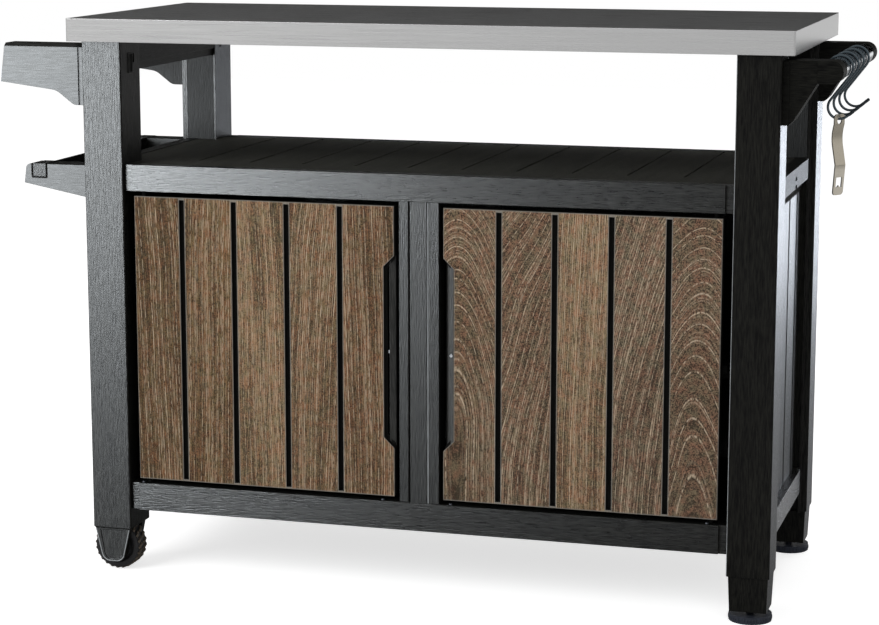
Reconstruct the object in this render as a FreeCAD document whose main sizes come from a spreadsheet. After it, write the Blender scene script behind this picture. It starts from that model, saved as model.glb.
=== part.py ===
import FreeCAD, Part
import Sketcher
import math
import os
import re
from FreeCAD import Placement, Rotation, Vector

doc = FreeCAD.newDocument("grill_cart")

# Driving sizes, in millimetres. +X is the right end, +Y the back, +Z up, z = 0 the floor.
SIZES = {
    # Worktop
    "top_long": 1148, "top_deep": 508, "top_height": 900, "top_edge": 36, "top_sheet": 1.2,
    "top_hem": 9, "top_corner": 3, "core_plate": 4, "core_rib": 6, "core_columns": 7,
    # Legs
    "leg_span": 1107, "leg_spread": 482, "leg_width": 66, "leg_deep": 76, "leg_wall": 4,
    "leg_rebate": 10, "leg_foot": 74, "leg_round": 2.5, "leg_cells": 3, "cover_thick": 3,
    "clip_width": 8, "clip_tall": 14, "clip_back": 51, "clip_drop": 30,
    # Rails, deck and floor
    "rail_set": 4.5, "rail_deep": 30, "rail_wall": 4, "face_step": 3.5, "face_margin": 13.5,
    "shelf_top": 669.7, "shelf_rail_tall": 41.7, "shelf_side_tall": 32.7,
    "bottom_top": 151.4, "bottom_rail_tall": 44.8, "bottom_side_tall": 39.4,
    "side_set": 9.5, "seat_deep": 8, "deck_thick": 14, "deck_drop": 0.7, "floor_thick": 10,
    "deck_pitch": 88, "deck_groove": 4, "groove_deep": 2, "deck_border": 70, "slat_count": 11,
    "top_rail_tall": 38, "top_rail_thick": 12, "top_rail_ledge": 12,
    # Cabinet
    "panel_thick": 14, "panel_set": 22.5, "panel_pitch": 83, "panel_groove": 6,
    "post_half": 33, "post_strip": 16, "post_gap": 3.5, "post_step": 6, "post_deep": 34,
    "back_half": 20, "back_deep": 28, "back_set": 13, "shelf_height": 392, "shelf_thick": 12,
    "ledge_long": 26, "ledge_tall": 10, "catch_tall": 24, "catch_thick": 12, "catch_drop": 40,
    # Doors
    "door_side_gap": 16, "door_half_gap": 39.5, "door_foot_gap": 8.6, "door_head_gap": 7.7,
    "door_face": 8, "door_deep": 26, "door_slot": 8.5, "outer_slat": 76.5, "inner_slat": 84.2,
    "slot_count": 4, "slot_top": 4, "slot_foot": 3, "grip_deep": 17, "grip_tall": 305,
    "grip_extra": 6, "pivot_in": 12, "pivot_back": 14, "pin_round": 4, "pin_long": 7,
    "tray_skin": 3, "tray_wall": 4, "tray_cells": 4, "tray_inset": 1.5,
    # Wheels and feet
    "foot_set": 34.5, "wheel_round": 40, "wheel_wide": 38, "tread_deep": 3, "tread_count": 20,
    "axle_round": 4, "hub_round": 11, "dish_deep": 7, "fork_deep": 67,
    "cheek_gap": 1.5, "cheek_top": 60, "cheek_foot": 35, "cheek_low": 17, "cheek_round": 15,
    "cheek_rim": 4, "cheek_inlay": 1.2, "plug_tall": 34, "plug_deep": 54, "crown_gap": 4,
    "socket_low": 18, "socket_top_wide": 61, "socket_top_deep": 62, "socket_wide": 57,
    "socket_deep": 54, "stem_round": 6, "stem_long": 58, "pad_round": 33, "pad_thick": 11,
    # Left brackets, rod and rack
    "bracket_set": 15, "bracket_thick": 44, "flange_thick": 12, "roll_reach": 148.5,
    "roll_drop": 42, "roll_bevel": 5, "roll_tall": 97, "roll_knee_out": 22,
    "roll_belly_out": 52, "roll_belly_drop": 74, "roll_knee_round": 18, "roll_belly_round": 30,
    "roll_tip_drop": 62, "roll_tip_lean": 8, "roll_axis_out": 118, "roll_axis_drop": 34,
    "roll_round": 12, "roll_pin": 5, "roll_pin_long": 12,
    "rack_reach": 112, "rack_drop": 4.7, "rack_tall": 52, "rack_tip_drop": 31,
    "rack_tip_lean": 4, "rack_tip_round": 8, "rack_block": 22, "rack_block_tall": 21,
    "notch_gap": 3, "notch_in": 71.5, "notch_deep": 20.7, "rack_sheet": 4,
    # Right brackets, tube, hooks and opener
    "tool_reach": 87.5, "tool_drop": 44.5, "tool_tall": 95.5, "tool_flange": 9,
    "tool_chamfer": 7, "arm_tall": 33.5, "arm_long": 38, "tube_round": 16,
    "tube_wall": 1.5, "spigot_long": 14, "hook_wire": 2, "hook_first": -123, "hook_pitch": 70,
    "hook_drop": 59, "hook_bowl": 17.5, "hook_tip_out": 21.5, "hook_tip_rise": 39,
    "hook_tail": 215, "hook_bend": 18, "wire_sides": 6, "opener_long": 122, "opener_wide": 22,
    "opener_thick": 2.4,
    "opener_hole": 5.2, "opener_turn": 55, "opener_belly": 5, "opener_belly_down": 34,
    "opener_crease": 4, "opener_crease_down": 76, "opener_curve": 60, "opener_frame": 4.5,
    "window_up": 12, "window_tall": 15, "tooth_wide": 5, "tooth_tall": 3,
    # Clearances
    "fit_gap": 0.3, "running_gap": 0.1, "cut_over": 1,
}

sheet = doc.addObject("Spreadsheet::Sheet", "dims")
for row, (alias, size) in enumerate(SIZES.items(), start=1):
    sheet.set(f"A{row}", alias)
    sheet.set(f"B{row}", str(size))
    sheet.setAlias(f"B{row}", alias)
doc.recompute()

# Places that follow from the sizes.
PLACES = {
    "tip_end": "hook_tip_out + hook_wire * sin(hook_tip_rise)",
    "mid": "(roll_reach - (tool_reach - arm_tall / 2 + tip_end)) / 2",
    "leg_out": "leg_span / 2",
    "leg_in": "leg_out - leg_width",
    "leg_front": "leg_spread / 2",
    "leg_back": "leg_front - leg_deep",
    "leg_axis": "leg_out - leg_width / 2",
    "foot_row": "leg_front - foot_set",
    "core_low": "top_height - top_edge + top_sheet + fit_gap",
    "rail_out": "leg_front - rail_set",
    "side_out": "leg_out - side_set",
    "rail_half": "leg_in - fit_gap",
    "side_half": "leg_back - fit_gap",
    "shelf_low": "shelf_top - shelf_rail_tall",
    "panel_out": "leg_out - panel_set",
    "door_low": "bottom_top + door_foot_gap",
    "door_top": "shelf_low - door_head_gap",
    "door_width": "leg_in - door_side_gap - door_half_gap",
    "door_hinge": "leg_in - door_side_gap - pivot_in",
    "slot_pitch": "(door_width - outer_slat - inner_slat - door_slot) / (slot_count - 1)",
    "hinge_row": "rail_out - pivot_back",
    "grip_mid": "(door_low + door_top) / 2",
    "roll_top": "top_height - roll_drop",
    "roll_foot": "roll_top - roll_tall",
    "roll_axis_up": "roll_top - roll_axis_drop",
    "rack_top": "shelf_top - rack_drop",
    "rack_foot": "rack_top - rack_tall",
    "rack_tip_low": "rack_top - rack_tip_drop",
    "notch_low": "rack_top - notch_deep",
    "tool_top": "top_height - tool_drop",
    "tool_foot": "tool_top - tool_tall",
    "tube_out": "leg_out + tool_reach - arm_tall / 2",
    "tube_up": "tool_top - arm_tall / 2",
    "bracket_front": "leg_front - bracket_set",
    "bracket_back": "bracket_front - bracket_thick",
}
PLANE_ROLES = {"top": "XY_Plane", "front": "XZ_Plane", "side": "YZ_Plane"}
AXIS_ROLES = {"x": "X_Axis", "y": "Y_Axis", "z": "Z_Axis"}
SIDES = {"left": -1, "right": 1}
ENDS = {"front": -1, "rear": 1}
pieces = []


def formula(text):
    """Turn plain size and place names into an expression on the sheet."""
    def replace(match):
        word = match.group(0)
        return f"({formula(PLACES[word])})" if word in PLACES else f"dims.{word}"
    return re.sub(r"[a-z][a-z_]*\b(?!\()", replace, str(text))


def number(text):
    return float(sheet_reader.evalExpression(formula(text)))


def bind(item, prop, text):
    item.setExpression(prop, formula(text))


def keep(item):
    """Note a finished sub-part, whose Label names its file."""
    pieces.append(item)
    return item


sheet_reader = doc.addObject("App::FeaturePython", "sheet_reader")


# Sketch outlines
def rect(left, low, right, high):
    return [(left, low), (right, low), (right, high), (left, high)]


def centred(width, height, at_u="0", at_v="0"):
    return rect(f"({at_u}) - ({width}) / 2", f"({at_v}) - ({height}) / 2",
                f"({at_u}) + ({width}) / 2", f"({at_v}) + ({height}) / 2")


def ring(at_u, at_v, radius):
    return ("circle", at_u, at_v, radius)


def pin_point(sketch, geometry, corner, u_text, v_text):
    for kind, text in (("DistanceX", u_text), ("DistanceY", v_text)):
        index = sketch.addConstraint(
            Sketcher.Constraint(kind, -1, 1, geometry, corner, number(text)))
        bind(sketch, f"Constraints[{index}]", text)


def add_loop(sketch, loop):
    if loop[0] == "circle":
        centre = Vector(number(loop[1]), number(loop[2]), 0)
        edge = sketch.addGeometry(Part.Circle(centre, Vector(0, 0, 1), number(loop[3])))
        index = sketch.addConstraint(Sketcher.Constraint("Radius", edge, number(loop[3])))
        bind(sketch, f"Constraints[{index}]", loop[3])
        pin_point(sketch, edge, 3, loop[1], loop[2])
        return
    corners = [Vector(number(u), number(v), 0) for u, v in loop]
    count = len(corners)
    edges = [sketch.addGeometry(Part.LineSegment(corners[i], corners[(i + 1) % count]))
             for i in range(count)]
    for i, edge in enumerate(edges):
        sketch.addConstraint(
            Sketcher.Constraint("Coincident", edge, 2, edges[(i + 1) % count], 1))
        pin_point(sketch, edge, 1, *loop[i])


# Feature helpers
def new_body(name, x="0", y="0", z="0"):
    body = doc.addObject("PartDesign::Body", name)
    body.Label = name
    bind(body, "Placement.Base.x", f"({x}) + mid")
    bind(body, "Placement.Base.y", y)
    bind(body, "Placement.Base.z", z)
    return keep(body)


def origin_part(body, role):
    return [item for item in body.Origin.OriginFeatures if item.Role == role][0]


def sketch_on(body, plane, loops, at):
    sketch = body.newObject("Sketcher::SketchObject", f"{body.Name}_outline")
    sketch.AttachmentSupport = [(origin_part(body, PLANE_ROLES[plane]), "")]
    sketch.MapMode = "FlatFace"
    normal = "-" if plane == "front" else ""
    bind(sketch, "AttachmentOffset.Base.z", f"{normal}({at})")
    for loop in loops:
        add_loop(sketch, loop)
    return sketch


def pad(body, plane, loops, thick, at="0"):
    """Add material of this thickness, half of it on each side of the plane's offset."""
    sketch = sketch_on(body, plane, loops, at)
    feature = body.newObject("PartDesign::Pad", f"{body.Name}_pad")
    feature.Profile = sketch
    feature.SideType = "Symmetric"
    bind(feature, "Length", thick)
    return feature


def pocket(body, plane, loops, thick, at="0"):
    """Cut away this thickness, half of it on each side of the plane's offset."""
    sketch = sketch_on(body, plane, loops, at)
    feature = body.newObject("PartDesign::Pocket", f"{body.Name}_pocket")
    feature.Profile = sketch
    feature.SideType = "Symmetric"
    bind(feature, "Length", thick)
    return feature


def repeat(body, feature, axis, count, length):
    """Repeat a feature in a row along an axis; the length is from the first to the last."""
    pattern = body.newObject("PartDesign::LinearPattern", f"{body.Name}_row")
    pattern.Originals = [feature]
    pattern.Direction = (origin_part(body, AXIS_ROLES[axis]), [""])
    bind(pattern, "Occurrences", count)
    bind(pattern, "Length", length)
    body.Tip = pattern
    return pattern


def straight_edges(body, axis, spots):
    """Names of the edges that run along an axis through these spots, or all of them."""
    doc.recompute()
    along = {"x": 0, "y": 1, "z": 2}[axis]
    names = []
    for index, edge in enumerate(body.Tip.Shape.Edges, start=1):
        if edge.Curve.TypeId != "Part::GeomLine":
            continue
        first, last = edge.Vertexes[0].Point, edge.Vertexes[-1].Point
        flat = [i for i in range(3) if i != along]
        if any(abs(first[i] - last[i]) > 0.001 for i in flat):
            continue
        near = [math.dist([first[i] for i in flat], spot) < 0.05 for spot in spots]
        if not spots or any(near):
            names.append(f"Edge{index}")
    return names


def soften(body, axis, spots, radius, kind="Fillet"):
    """Round or chamfer the edges along an axis at the given corner places."""
    places = [[number(u), number(v)] for u, v in spots]
    names = straight_edges(body, axis, places)
    base = body.Tip
    feature = body.newObject(f"PartDesign::{kind}", f"{body.Name}_{kind.lower()}")
    feature.Base = (base, names)
    bind(feature, "Radius" if kind == "Fillet" else "Size", radius)
    return feature


def rod(name, radius, length, axis, x, y, z):
    """A plain round bar centred on a point, along one axis."""
    bar = doc.addObject("Part::Cylinder", name)
    bind(bar, "Radius", radius)
    bind(bar, "Height", length)
    turn = {"x": Rotation(Vector(0, 1, 0), 90), "y": Rotation(Vector(1, 0, 0), -90),
            "z": Rotation()}[axis]
    bar.Placement = Placement(Vector(0, 0, 0), turn)
    centre = {"x": x, "y": y, "z": z}
    centre[axis] = f"({centre[axis]}) - ({length}) / 2"
    bind(bar, "Placement.Base.x", f"({centre['x']}) + mid")
    bind(bar, "Placement.Base.y", centre["y"])
    bind(bar, "Placement.Base.z", centre["z"])
    return bar


def block(name, x_range, y_range, z_range):
    """A plain square block between three pairs of places."""
    item = doc.addObject("Part::Box", name)
    for prop, axis, (low, high) in zip(("Length", "Width", "Height"), "xyz",
                                       (x_range, y_range, z_range)):
        bind(item, prop, f"({high}) - ({low})")
        bind(item, f"Placement.Base.{axis}", f"({low})" + (" + mid" if axis == "x" else ""))
    return item


def group(name, items):
    """Identical small pieces kept together as one sub-part of separate solids."""
    bundle = doc.addObject("Part::Compound", name)
    bundle.Label = name
    bundle.Links = items
    return keep(bundle)


def signed_pair(sign, near, far):
    """A range on one side of the centre plane, low end first."""
    if sign > 0:
        return f"({near})", f"({far})"
    return f"-({far})", f"-({near})"


# Worktop
def make_worktop():
    """Folded steel tray: a flat top, a deep rim and a hem turned in under the rim."""
    body = new_body("worktop", z="top_height - top_edge")
    pad(body, "top", [centred("top_long", "top_deep")], "top_edge", "top_edge / 2")
    corners = [(f"{u} * top_long / 2", f"{v} * top_deep / 2") for u in (-1, 1) for v in (-1, 1)]
    soften(body, "z", corners, "top_corner")
    inner = centred("top_long - 2 * top_sheet", "top_deep - 2 * top_sheet")
    pocket(body, "top", [inner], "top_edge - 2 * top_sheet", "top_edge / 2")
    mouth = centred("top_long - 2 * top_hem", "top_deep - 2 * top_hem")
    pocket(body, "top", [mouth], "2 * top_sheet + 2 * cut_over", "0")


def make_worktop_core():
    """Ribbed resin panel that fills the tray and sits on the legs."""
    body = new_body("worktop_core", z="core_low")
    tall = "(top_height - top_sheet - fit_gap - core_low)"
    long = "(top_long - 2 * top_sheet - 2 * fit_gap)"
    deep = "(top_deep - 2 * top_sheet - 2 * fit_gap)"
    pad(body, "top", [centred(long, deep)], tall, f"{tall} / 2")
    pitch = f"({long} - core_rib) / core_columns"
    row = f"({deep} - core_rib) / 3"
    cells = [centred(f"{pitch} - core_rib", f"{row} - core_rib",
                     f"-({long} - core_rib) / 2 + {pitch} / 2", f"{k} * {row}")
             for k in (-1, 0, 1)]
    cut = pocket(body, "top", cells, f"2 * ({tall} - core_plate)", "0")
    repeat(body, cut, "x", "core_columns", f"{pitch} * (core_columns - 1)")


def make_top_rail(side):
    """Side rail under the worktop, between the two legs of one end, with a low ledge."""
    sign = SIDES[side]
    body = new_body(f"top_rail_{side}")
    inner = "leg_in + 1"
    web = signed_pair(sign, inner, f"{inner} + top_rail_thick")
    foot = signed_pair(sign, f"{inner} + face_step", f"{inner} + top_rail_thick")
    low = "core_low - top_rail_tall"
    profile = [(web[0], low), (web[1], low), (web[1], "core_low"), (web[0], "core_low")]
    ledge = rect(foot[0], f"{low} - top_rail_ledge", foot[1], low)
    pad(body, "front", [profile], "2 * side_half")
    pad(body, "front", [ledge], "2 * side_half")


# Legs
def corner_loop(loop, side, end):
    """An outline measured inwards from the outer corner of the leg at this side and end."""
    return [(f"{-SIDES[side]} * ({u})", f"{-ENDS[end]} * ({v})") for u, v in loop]


def make_leg(end, side):
    """Moulded leg: a channel open towards the middle of the cart, with cross webs, and
    set back where the side rail and panel meet it."""
    toward, sign = ENDS[end], SIDES[side]
    body = new_body(f"leg_{end}_{side}", f"{sign} * leg_out", f"{toward} * leg_front")
    tall = "(core_low - leg_foot)"
    section = [("0", "0"), ("leg_width", "0"), ("leg_width", "leg_deep"),
               ("side_set", "leg_deep"), ("side_set", "leg_deep - leg_rebate"),
               ("0", "leg_deep - leg_rebate")]
    pad(body, "top", [corner_loop(section, side, end)], tall, f"leg_foot + {tall} / 2")
    soften(body, "z", corner_loop(section[:2], side, end), "leg_round")
    hollow = [("leg_wall", "leg_wall"), ("leg_width - leg_wall", "leg_wall"),
              ("leg_width - leg_wall", "leg_deep + cut_over"),
              ("side_set + leg_wall", "leg_deep + cut_over"),
              ("side_set + leg_wall", "leg_deep - leg_rebate - leg_wall"),
              ("leg_wall", "leg_deep - leg_rebate - leg_wall")]
    hollow = corner_loop(hollow, side, end)
    mouth = "(plug_tall + crown_gap)"
    pocket(body, "top", [hollow], f"2 * {mouth}", "leg_foot")
    web = "(2 * leg_wall)"
    cell = f"(({tall} - {mouth} - (leg_cells + 1) * {web}) / leg_cells)"
    cut = pocket(body, "top", [hollow], cell, f"leg_foot + {mouth} + {web} + {cell} / 2")
    repeat(body, cut, "z", "leg_cells", f"({cell} + {web}) * (leg_cells - 1)")
    seat = rect("side_set + leg_wall", "leg_deep - cover_thick - fit_gap",
                "leg_width - leg_wall", "leg_deep + cut_over")
    cover_tall = f"({tall} - {mouth} + cut_over)"
    pocket(body, "top", [corner_loop(seat, side, end)], cover_tall,
           f"leg_foot + {mouth} + {cover_tall} / 2")
    clip = centred("clip_width", "clip_tall", f"{-toward} * clip_back", "core_low - clip_drop")
    pocket(body, "side", [clip], "2 * leg_wall + 2 * cut_over", f"{-sign} * leg_width")


def make_leg_covers():
    """Cover strips that close the open side of each leg channel."""
    strips = []
    for end, toward in ENDS.items():
        for side, sign in SIDES.items():
            x_range = signed_pair(sign, "leg_in + leg_wall + fit_gap",
                                  "side_out - leg_wall - fit_gap")
            y_range = signed_pair(toward, "leg_back", "leg_back + cover_thick")
            strips.append(block(f"cover_{end}_{side}", x_range, y_range,
                                ("leg_foot + plug_tall + crown_gap", "core_low - fit_gap")))
    group("leg_covers", strips)


# Rails, deck and floor
def make_rail(name, run, sign, outer, half, top, tall, seat):
    """One rail: a raised face with a small step at each end, a seat cut along its inner
    top edge for the panel, and a hollow underside."""
    plane = {"x": "front", "y": "side"}[run]
    body = new_body(name, z=f"({top}) - ({tall})")
    deep = "rail_deep - face_step"
    pad(body, plane, [rect(f"-({half})", "0", half, tall)], deep,
        f"{sign} * (({outer}) - face_step - ({deep}) / 2)")
    face = f"({half}) - face_margin"
    pad(body, plane, [rect(f"-({face})", "0", face, tall)], "face_step",
        f"{sign} * (({outer}) - face_step / 2)")
    ledge = rect(f"-({half}) - cut_over", f"({tall}) - ({seat})", f"({half}) + cut_over",
                 f"({tall}) + cut_over")
    pocket(body, plane, [ledge], "2 * seat_deep", f"{sign} * (({outer}) - rail_deep)")
    solid = "face_margin + 2 * pivot_in"
    hollow = rect(f"-({half}) + {solid}", "-cut_over", f"({half}) - ({solid})",
                  f"({tall}) - ({seat}) - rail_wall")
    pocket(body, plane, [hollow], f"{deep} - 2 * rail_wall",
           f"{sign} * (({outer}) - face_step - ({deep}) / 2)")
    return body


def make_rails():
    seats = {"shelf": "deck_thick + deck_drop", "bottom": "floor_thick"}
    for level, seat in seats.items():
        top, side_tall = f"{level}_top", f"{level}_side_tall"
        for end, toward in ENDS.items():
            body = make_rail(f"{level}_rail_{end}", "x", toward, "rail_out", "rail_half", top,
                             f"{level}_rail_tall", seat)
            if end == "front":
                mouth = "0" if level == "shelf" else "bottom_rail_tall"
                holes = [ring(f"{sign} * door_hinge", "-hinge_row", "pin_round + running_gap")
                         for sign in (-1, 1)]
                pocket(body, "top", holes, "2 * (pin_long + fit_gap)", mouth)
        for side, sign in SIDES.items():
            make_rail(f"{level}_rail_{side}", "y", sign, "side_out", "side_half", top,
                      side_tall, seat)


def cross_outline():
    """Plan of a panel that fits between the rails and round the four legs."""
    long = "side_out - rail_deep + seat_deep - fit_gap"
    deep = "rail_out - rail_deep + seat_deep - fit_gap"
    neck_x, neck_y = "rail_half", "side_half"
    return [(f"-({neck_x})", f"-({deep})"), (neck_x, f"-({deep})"), (neck_x, f"-({neck_y})"),
            (long, f"-({neck_y})"), (long, neck_y), (neck_x, neck_y),
            (neck_x, deep), (f"-({neck_x})", deep), (f"-({neck_x})", neck_y),
            (f"-({long})", neck_y), (f"-({long})", f"-({neck_y})"),
            (f"-({neck_x})", f"-({neck_y})")]


def make_deck():
    """Slatted deck of the open bay: grooves from the front border to the rear rail."""
    body = new_body("shelf_deck", z="shelf_top - deck_drop - deck_thick")
    pad(body, "top", [cross_outline()], "deck_thick", "deck_thick / 2")
    deep = "rail_out - rail_deep + seat_deep"
    groove = rect("-deck_pitch * (slat_count / 2 - 1) - deck_groove / 2",
                  f"-({deep}) + deck_border",
                  "-deck_pitch * (slat_count / 2 - 1) + deck_groove / 2", f"{deep} + cut_over")
    cut = pocket(body, "top", [groove], "2 * groove_deep", "deck_thick")
    repeat(body, cut, "x", "slat_count - 1", "deck_pitch * (slat_count - 2)")
    under = rect("-side_half", "-side_half + core_rib", "-core_rib / 2", "side_half - core_rib")
    relief = pocket(body, "top", [under], "2 * (deck_thick - core_plate - groove_deep)", "0")
    repeat(body, relief, "x", "2", "side_half + core_rib / 2")


def make_floor():
    """Cabinet floor with a shallow relief under each half."""
    body = new_body("cabinet_floor", z="bottom_top - floor_thick")
    pad(body, "top", [cross_outline()], "floor_thick", "floor_thick / 2")
    under = rect("-rail_half + rail_deep", "-side_half", "-core_rib / 2", "side_half")
    relief = pocket(body, "top", [under], "floor_thick", "0")
    repeat(body, relief, "x", "2", "rail_half - rail_deep + core_rib / 2")


# Cabinet
def make_centre_post():
    """Front centre post: a raised middle strip between two side strips."""
    body = new_body("centre_post", y="-rail_out", z="bottom_top")
    tall = "shelf_low - bottom_top"
    middle = f"({tall}) / 2"
    pad(body, "top", [rect("-post_half", "post_step", "post_half", "post_deep")], tall, middle)
    inner = "post_half - post_strip - post_gap"
    pad(body, "top", [rect(f"-({inner})", "0", inner, "post_step")], tall, middle)
    groove = rect(f"-({inner}) - post_gap", "0", f"-({inner})", "post_step + 2 * groove_deep")
    pocket(body, "top", [groove], f"{tall} + 2 * cut_over", middle)
    hollow = rect("-post_half + rail_wall", "post_step + 2 * rail_wall", "post_half - rail_wall",
                  "post_deep + cut_over")
    pocket(body, "top", [hollow], f"({tall}) - 4 * rail_wall", middle)


def make_back_post():
    """Rear centre post, slotted on both sides for the back panels."""
    body = new_body("back_post", y="rail_out - back_set", z="bottom_top")
    tall = "shelf_low - bottom_top"
    middle = f"({tall}) / 2"
    outline = rect("-back_half", "-back_deep", "back_half", "0")
    pad(body, "top", [outline], tall, middle)
    deep_slot = "back_half / 2"
    for sign in (-1, 1):
        near, far = signed_pair(sign, deep_slot, "back_half + cut_over")
        low = "-back_deep / 2 - panel_thick / 2 - fit_gap"
        slot = rect(near, low, far, "-back_deep / 2 + panel_thick / 2 + fit_gap")
        pocket(body, "top", [slot], f"{tall} + 2 * cut_over", middle)


def make_side_panel(side):
    """Side wall of the cabinet with upright grooves on its outer face."""
    sign = SIDES[side]
    body = new_body(f"side_panel_{side}", f"{sign} * (panel_out - panel_thick / 2)",
                    z="bottom_top")
    tall = "shelf_top - shelf_side_tall - bottom_top"
    pad(body, "side", [rect("-side_half", "0", "side_half", tall)], "panel_thick")
    first = "-1.5 * panel_pitch"
    groove = rect(f"{first} - panel_groove / 2", "-cut_over", f"{first} + panel_groove / 2",
                  f"{tall} + cut_over")
    cut = pocket(body, "side", [groove], "4 * groove_deep", f"{sign} * panel_thick / 2")
    repeat(body, cut, "y", "4", "3 * panel_pitch")


def make_back_panel(side):
    """Half of the cabinet's back, with upright grooves on its outer face."""
    sign = SIDES[side]
    body = new_body(f"back_panel_{side}", y="rail_out - back_set - back_deep / 2",
                    z="bottom_top")
    tall = "shelf_low - bottom_top"
    near, far = signed_pair(sign, "back_half / 2 + fit_gap", "rail_half")
    pad(body, "front", [rect(near, "0", far, tall)], "panel_thick")
    first = f"{near} + panel_pitch"
    groove = rect(f"{first} - panel_groove / 2", "-cut_over", f"{first} + panel_groove / 2",
                  f"{tall} + cut_over")
    cut = pocket(body, "front", [groove], "4 * groove_deep", "panel_thick / 2")
    repeat(body, cut, "x", "4", "3 * panel_pitch")


def make_inner_shelf(side):
    """Shelf inside one half of the cabinet, ribbed below."""
    sign = SIDES[side]
    body = new_body(f"inner_shelf_{side}", z="shelf_height - shelf_thick")
    front = "-(rail_out - post_deep - fit_gap)"
    back = "rail_out - back_set - back_deep - fit_gap"
    near, far = signed_pair(sign, "fit_gap / 2", "rail_half - ledge_tall - fit_gap")
    pad(body, "top", [rect(near, front, far, back)], "shelf_thick", "shelf_thick / 2")
    cell = f"({far} - ({near}) - 5 * core_rib) / 4"
    relief = rect(f"{near} + core_rib", f"{front} + core_rib", f"{near} + core_rib + {cell}",
                  f"{back} - core_rib")
    cut = pocket(body, "top", [relief], "2 * (shelf_thick - core_plate)", "0")
    repeat(body, cut, "x", "4", f"3 * ({cell} + core_rib)")


def make_shelf_ledges():
    """Ledges on the legs and posts that the inner shelves lie on."""
    low, high = "shelf_height - shelf_thick - ledge_tall", "shelf_height - shelf_thick"
    items = []
    for end, toward in ENDS.items():
        for side, sign in SIDES.items():
            x_range = signed_pair(sign, "leg_in - ledge_long", "leg_in")
            y_range = signed_pair(toward, "leg_back + cover_thick", "leg_back + ledge_long")
            items.append(block(f"ledge_{end}_{side}", x_range, y_range, (low, high)))
    items.append(block("ledge_front_middle", ("-ledge_long", "ledge_long"),
                       ("-(rail_out - post_deep)", "-(rail_out - post_deep - ledge_tall)"),
                       (low, high)))
    back = "rail_out - back_set - back_deep"
    items.append(block("ledge_rear_middle", ("-ledge_long", "ledge_long"),
                       (f"{back} - ledge_tall", back), (low, high)))
    group("shelf_ledges", items)


def make_door_catches():
    """Stops on the centre post that each closed door rests against, near its top."""
    items = []
    back = "rail_out - door_deep"
    for side, sign in SIDES.items():
        x_range = signed_pair(sign, "post_half", "door_half_gap + 2 * catch_thick")
        items.append(block(f"catch_{side}", x_range,
                           (f"-({back} - fit_gap)", f"-({back} - fit_gap - catch_thick / 2)"),
                           ("shelf_low - catch_drop - catch_tall", "shelf_low - catch_drop")))
    group("door_catches", items)


# Doors
def door_range(sign, inset="0"):
    return signed_pair(sign, f"door_half_gap + {inset}", f"leg_in - door_side_gap - ({inset})")


def grip_outline(sign, inset):
    """Finger grip at the door's inner edge: a flat with a slope at each end."""
    near = f"{sign} * (door_half_gap - cut_over)"
    edge = f"{sign} * (door_half_gap + grip_deep - {inset})"
    half = f"(grip_tall / 2 - {inset})"
    return [(near, f"grip_mid - {half} - cut_over"),
            (near, f"grip_mid + {half} + cut_over"),
            (edge, f"grip_mid + {half} - grip_deep"),
            (edge, f"grip_mid - {half} + grip_deep")]


def make_door(side):
    """One cabinet door: slatted front facing and a backing tray with its hinge pins."""
    sign = SIDES[side]
    face = new_body(f"{side}_door_front", y="-rail_out")
    near, far = door_range(sign)
    pad(face, "front", [rect(near, "door_low", far, "door_top")], "door_face", "door_face / 2")
    corners = [(u, v) for u in (near, far) for v in ("0", )]
    soften(face, "z", corners, "face_step / 2")
    edge = f"{sign} * (leg_in - door_side_gap - outer_slat)"
    slot_low, slot_high = "door_low + slot_foot", "door_top - slot_top"
    slots = []
    for k in range(SIZES["slot_count"]):
        start = f"{edge} - {sign} * ({k} * slot_pitch)"
        pair = (start, f"{start} - {sign} * door_slot")
        slots.append([(pair[0], slot_low), (pair[1], slot_low), (pair[1], slot_high),
                      (pair[0], slot_high)])
    pocket(face, "front", slots, "2 * door_face + 2 * cut_over", "door_face / 2")
    pocket(face, "front", [grip_outline(sign, "0")], "2 * door_face + 2 * cut_over",
           "door_face / 2")

    tray = new_body(f"{side}_door_back", y="-rail_out")
    near, far = door_range(sign, "tray_inset")
    thick = "door_deep - door_face"
    low, high = "door_low + tray_inset", "door_top - tray_inset"
    pad(tray, "front", [rect(near, low, far, high)], thick, f"door_face + ({thick}) / 2")
    cell = f"({high} - ({low}) - (tray_cells + 1) * tray_wall) / tray_cells"
    inner_near, inner_far = signed_pair(
        sign, "door_half_gap + grip_deep + tray_wall + tray_inset",
        "door_hinge - pivot_in")
    hollow = rect(inner_near, f"{low} + tray_wall", inner_far, f"{low} + tray_wall + {cell}")
    cut = pocket(tray, "front", [hollow], f"2 * ({thick} - tray_skin)", "door_deep")
    repeat(tray, cut, "z", "tray_cells", f"(tray_cells - 1) * ({cell} + tray_wall)")
    pocket(tray, "front", [grip_outline(sign, "tray_wall")], "2 * grip_extra", "door_face")
    hinge = (f"{sign} * door_hinge", "pivot_back")
    low_long = "door_foot_gap + tray_inset + pin_long"
    high_long = "door_head_gap + tray_inset + pin_long"
    pad(tray, "top", [ring(*hinge, "pin_round")], low_long, f"{low} - ({low_long}) / 2")
    pad(tray, "top", [ring(*hinge, "pin_round")], high_long, f"{high} + ({high_long}) / 2")


# Wheels and feet
def add_plug(body, side, end):
    """Block that reaches up inside the leg, clear of its walls."""
    room = [("side_set + leg_wall + fit_gap", "leg_wall + fit_gap"),
            ("leg_width - leg_wall - fit_gap", "leg_wall + fit_gap"),
            ("leg_width - leg_wall - fit_gap", "leg_wall + plug_deep"),
            ("side_set + leg_wall + fit_gap", "leg_wall + plug_deep")]
    loop = [(f"{u} + {SIDES[side]} * leg_width / 2", f"{v} + {ENDS[end]} * foot_set")
            for u, v in corner_loop(room, side, end)]
    pad(body, "top", [loop], "plug_tall + fit_gap", "leg_foot + plug_tall / 2 - fit_gap / 2")


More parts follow.
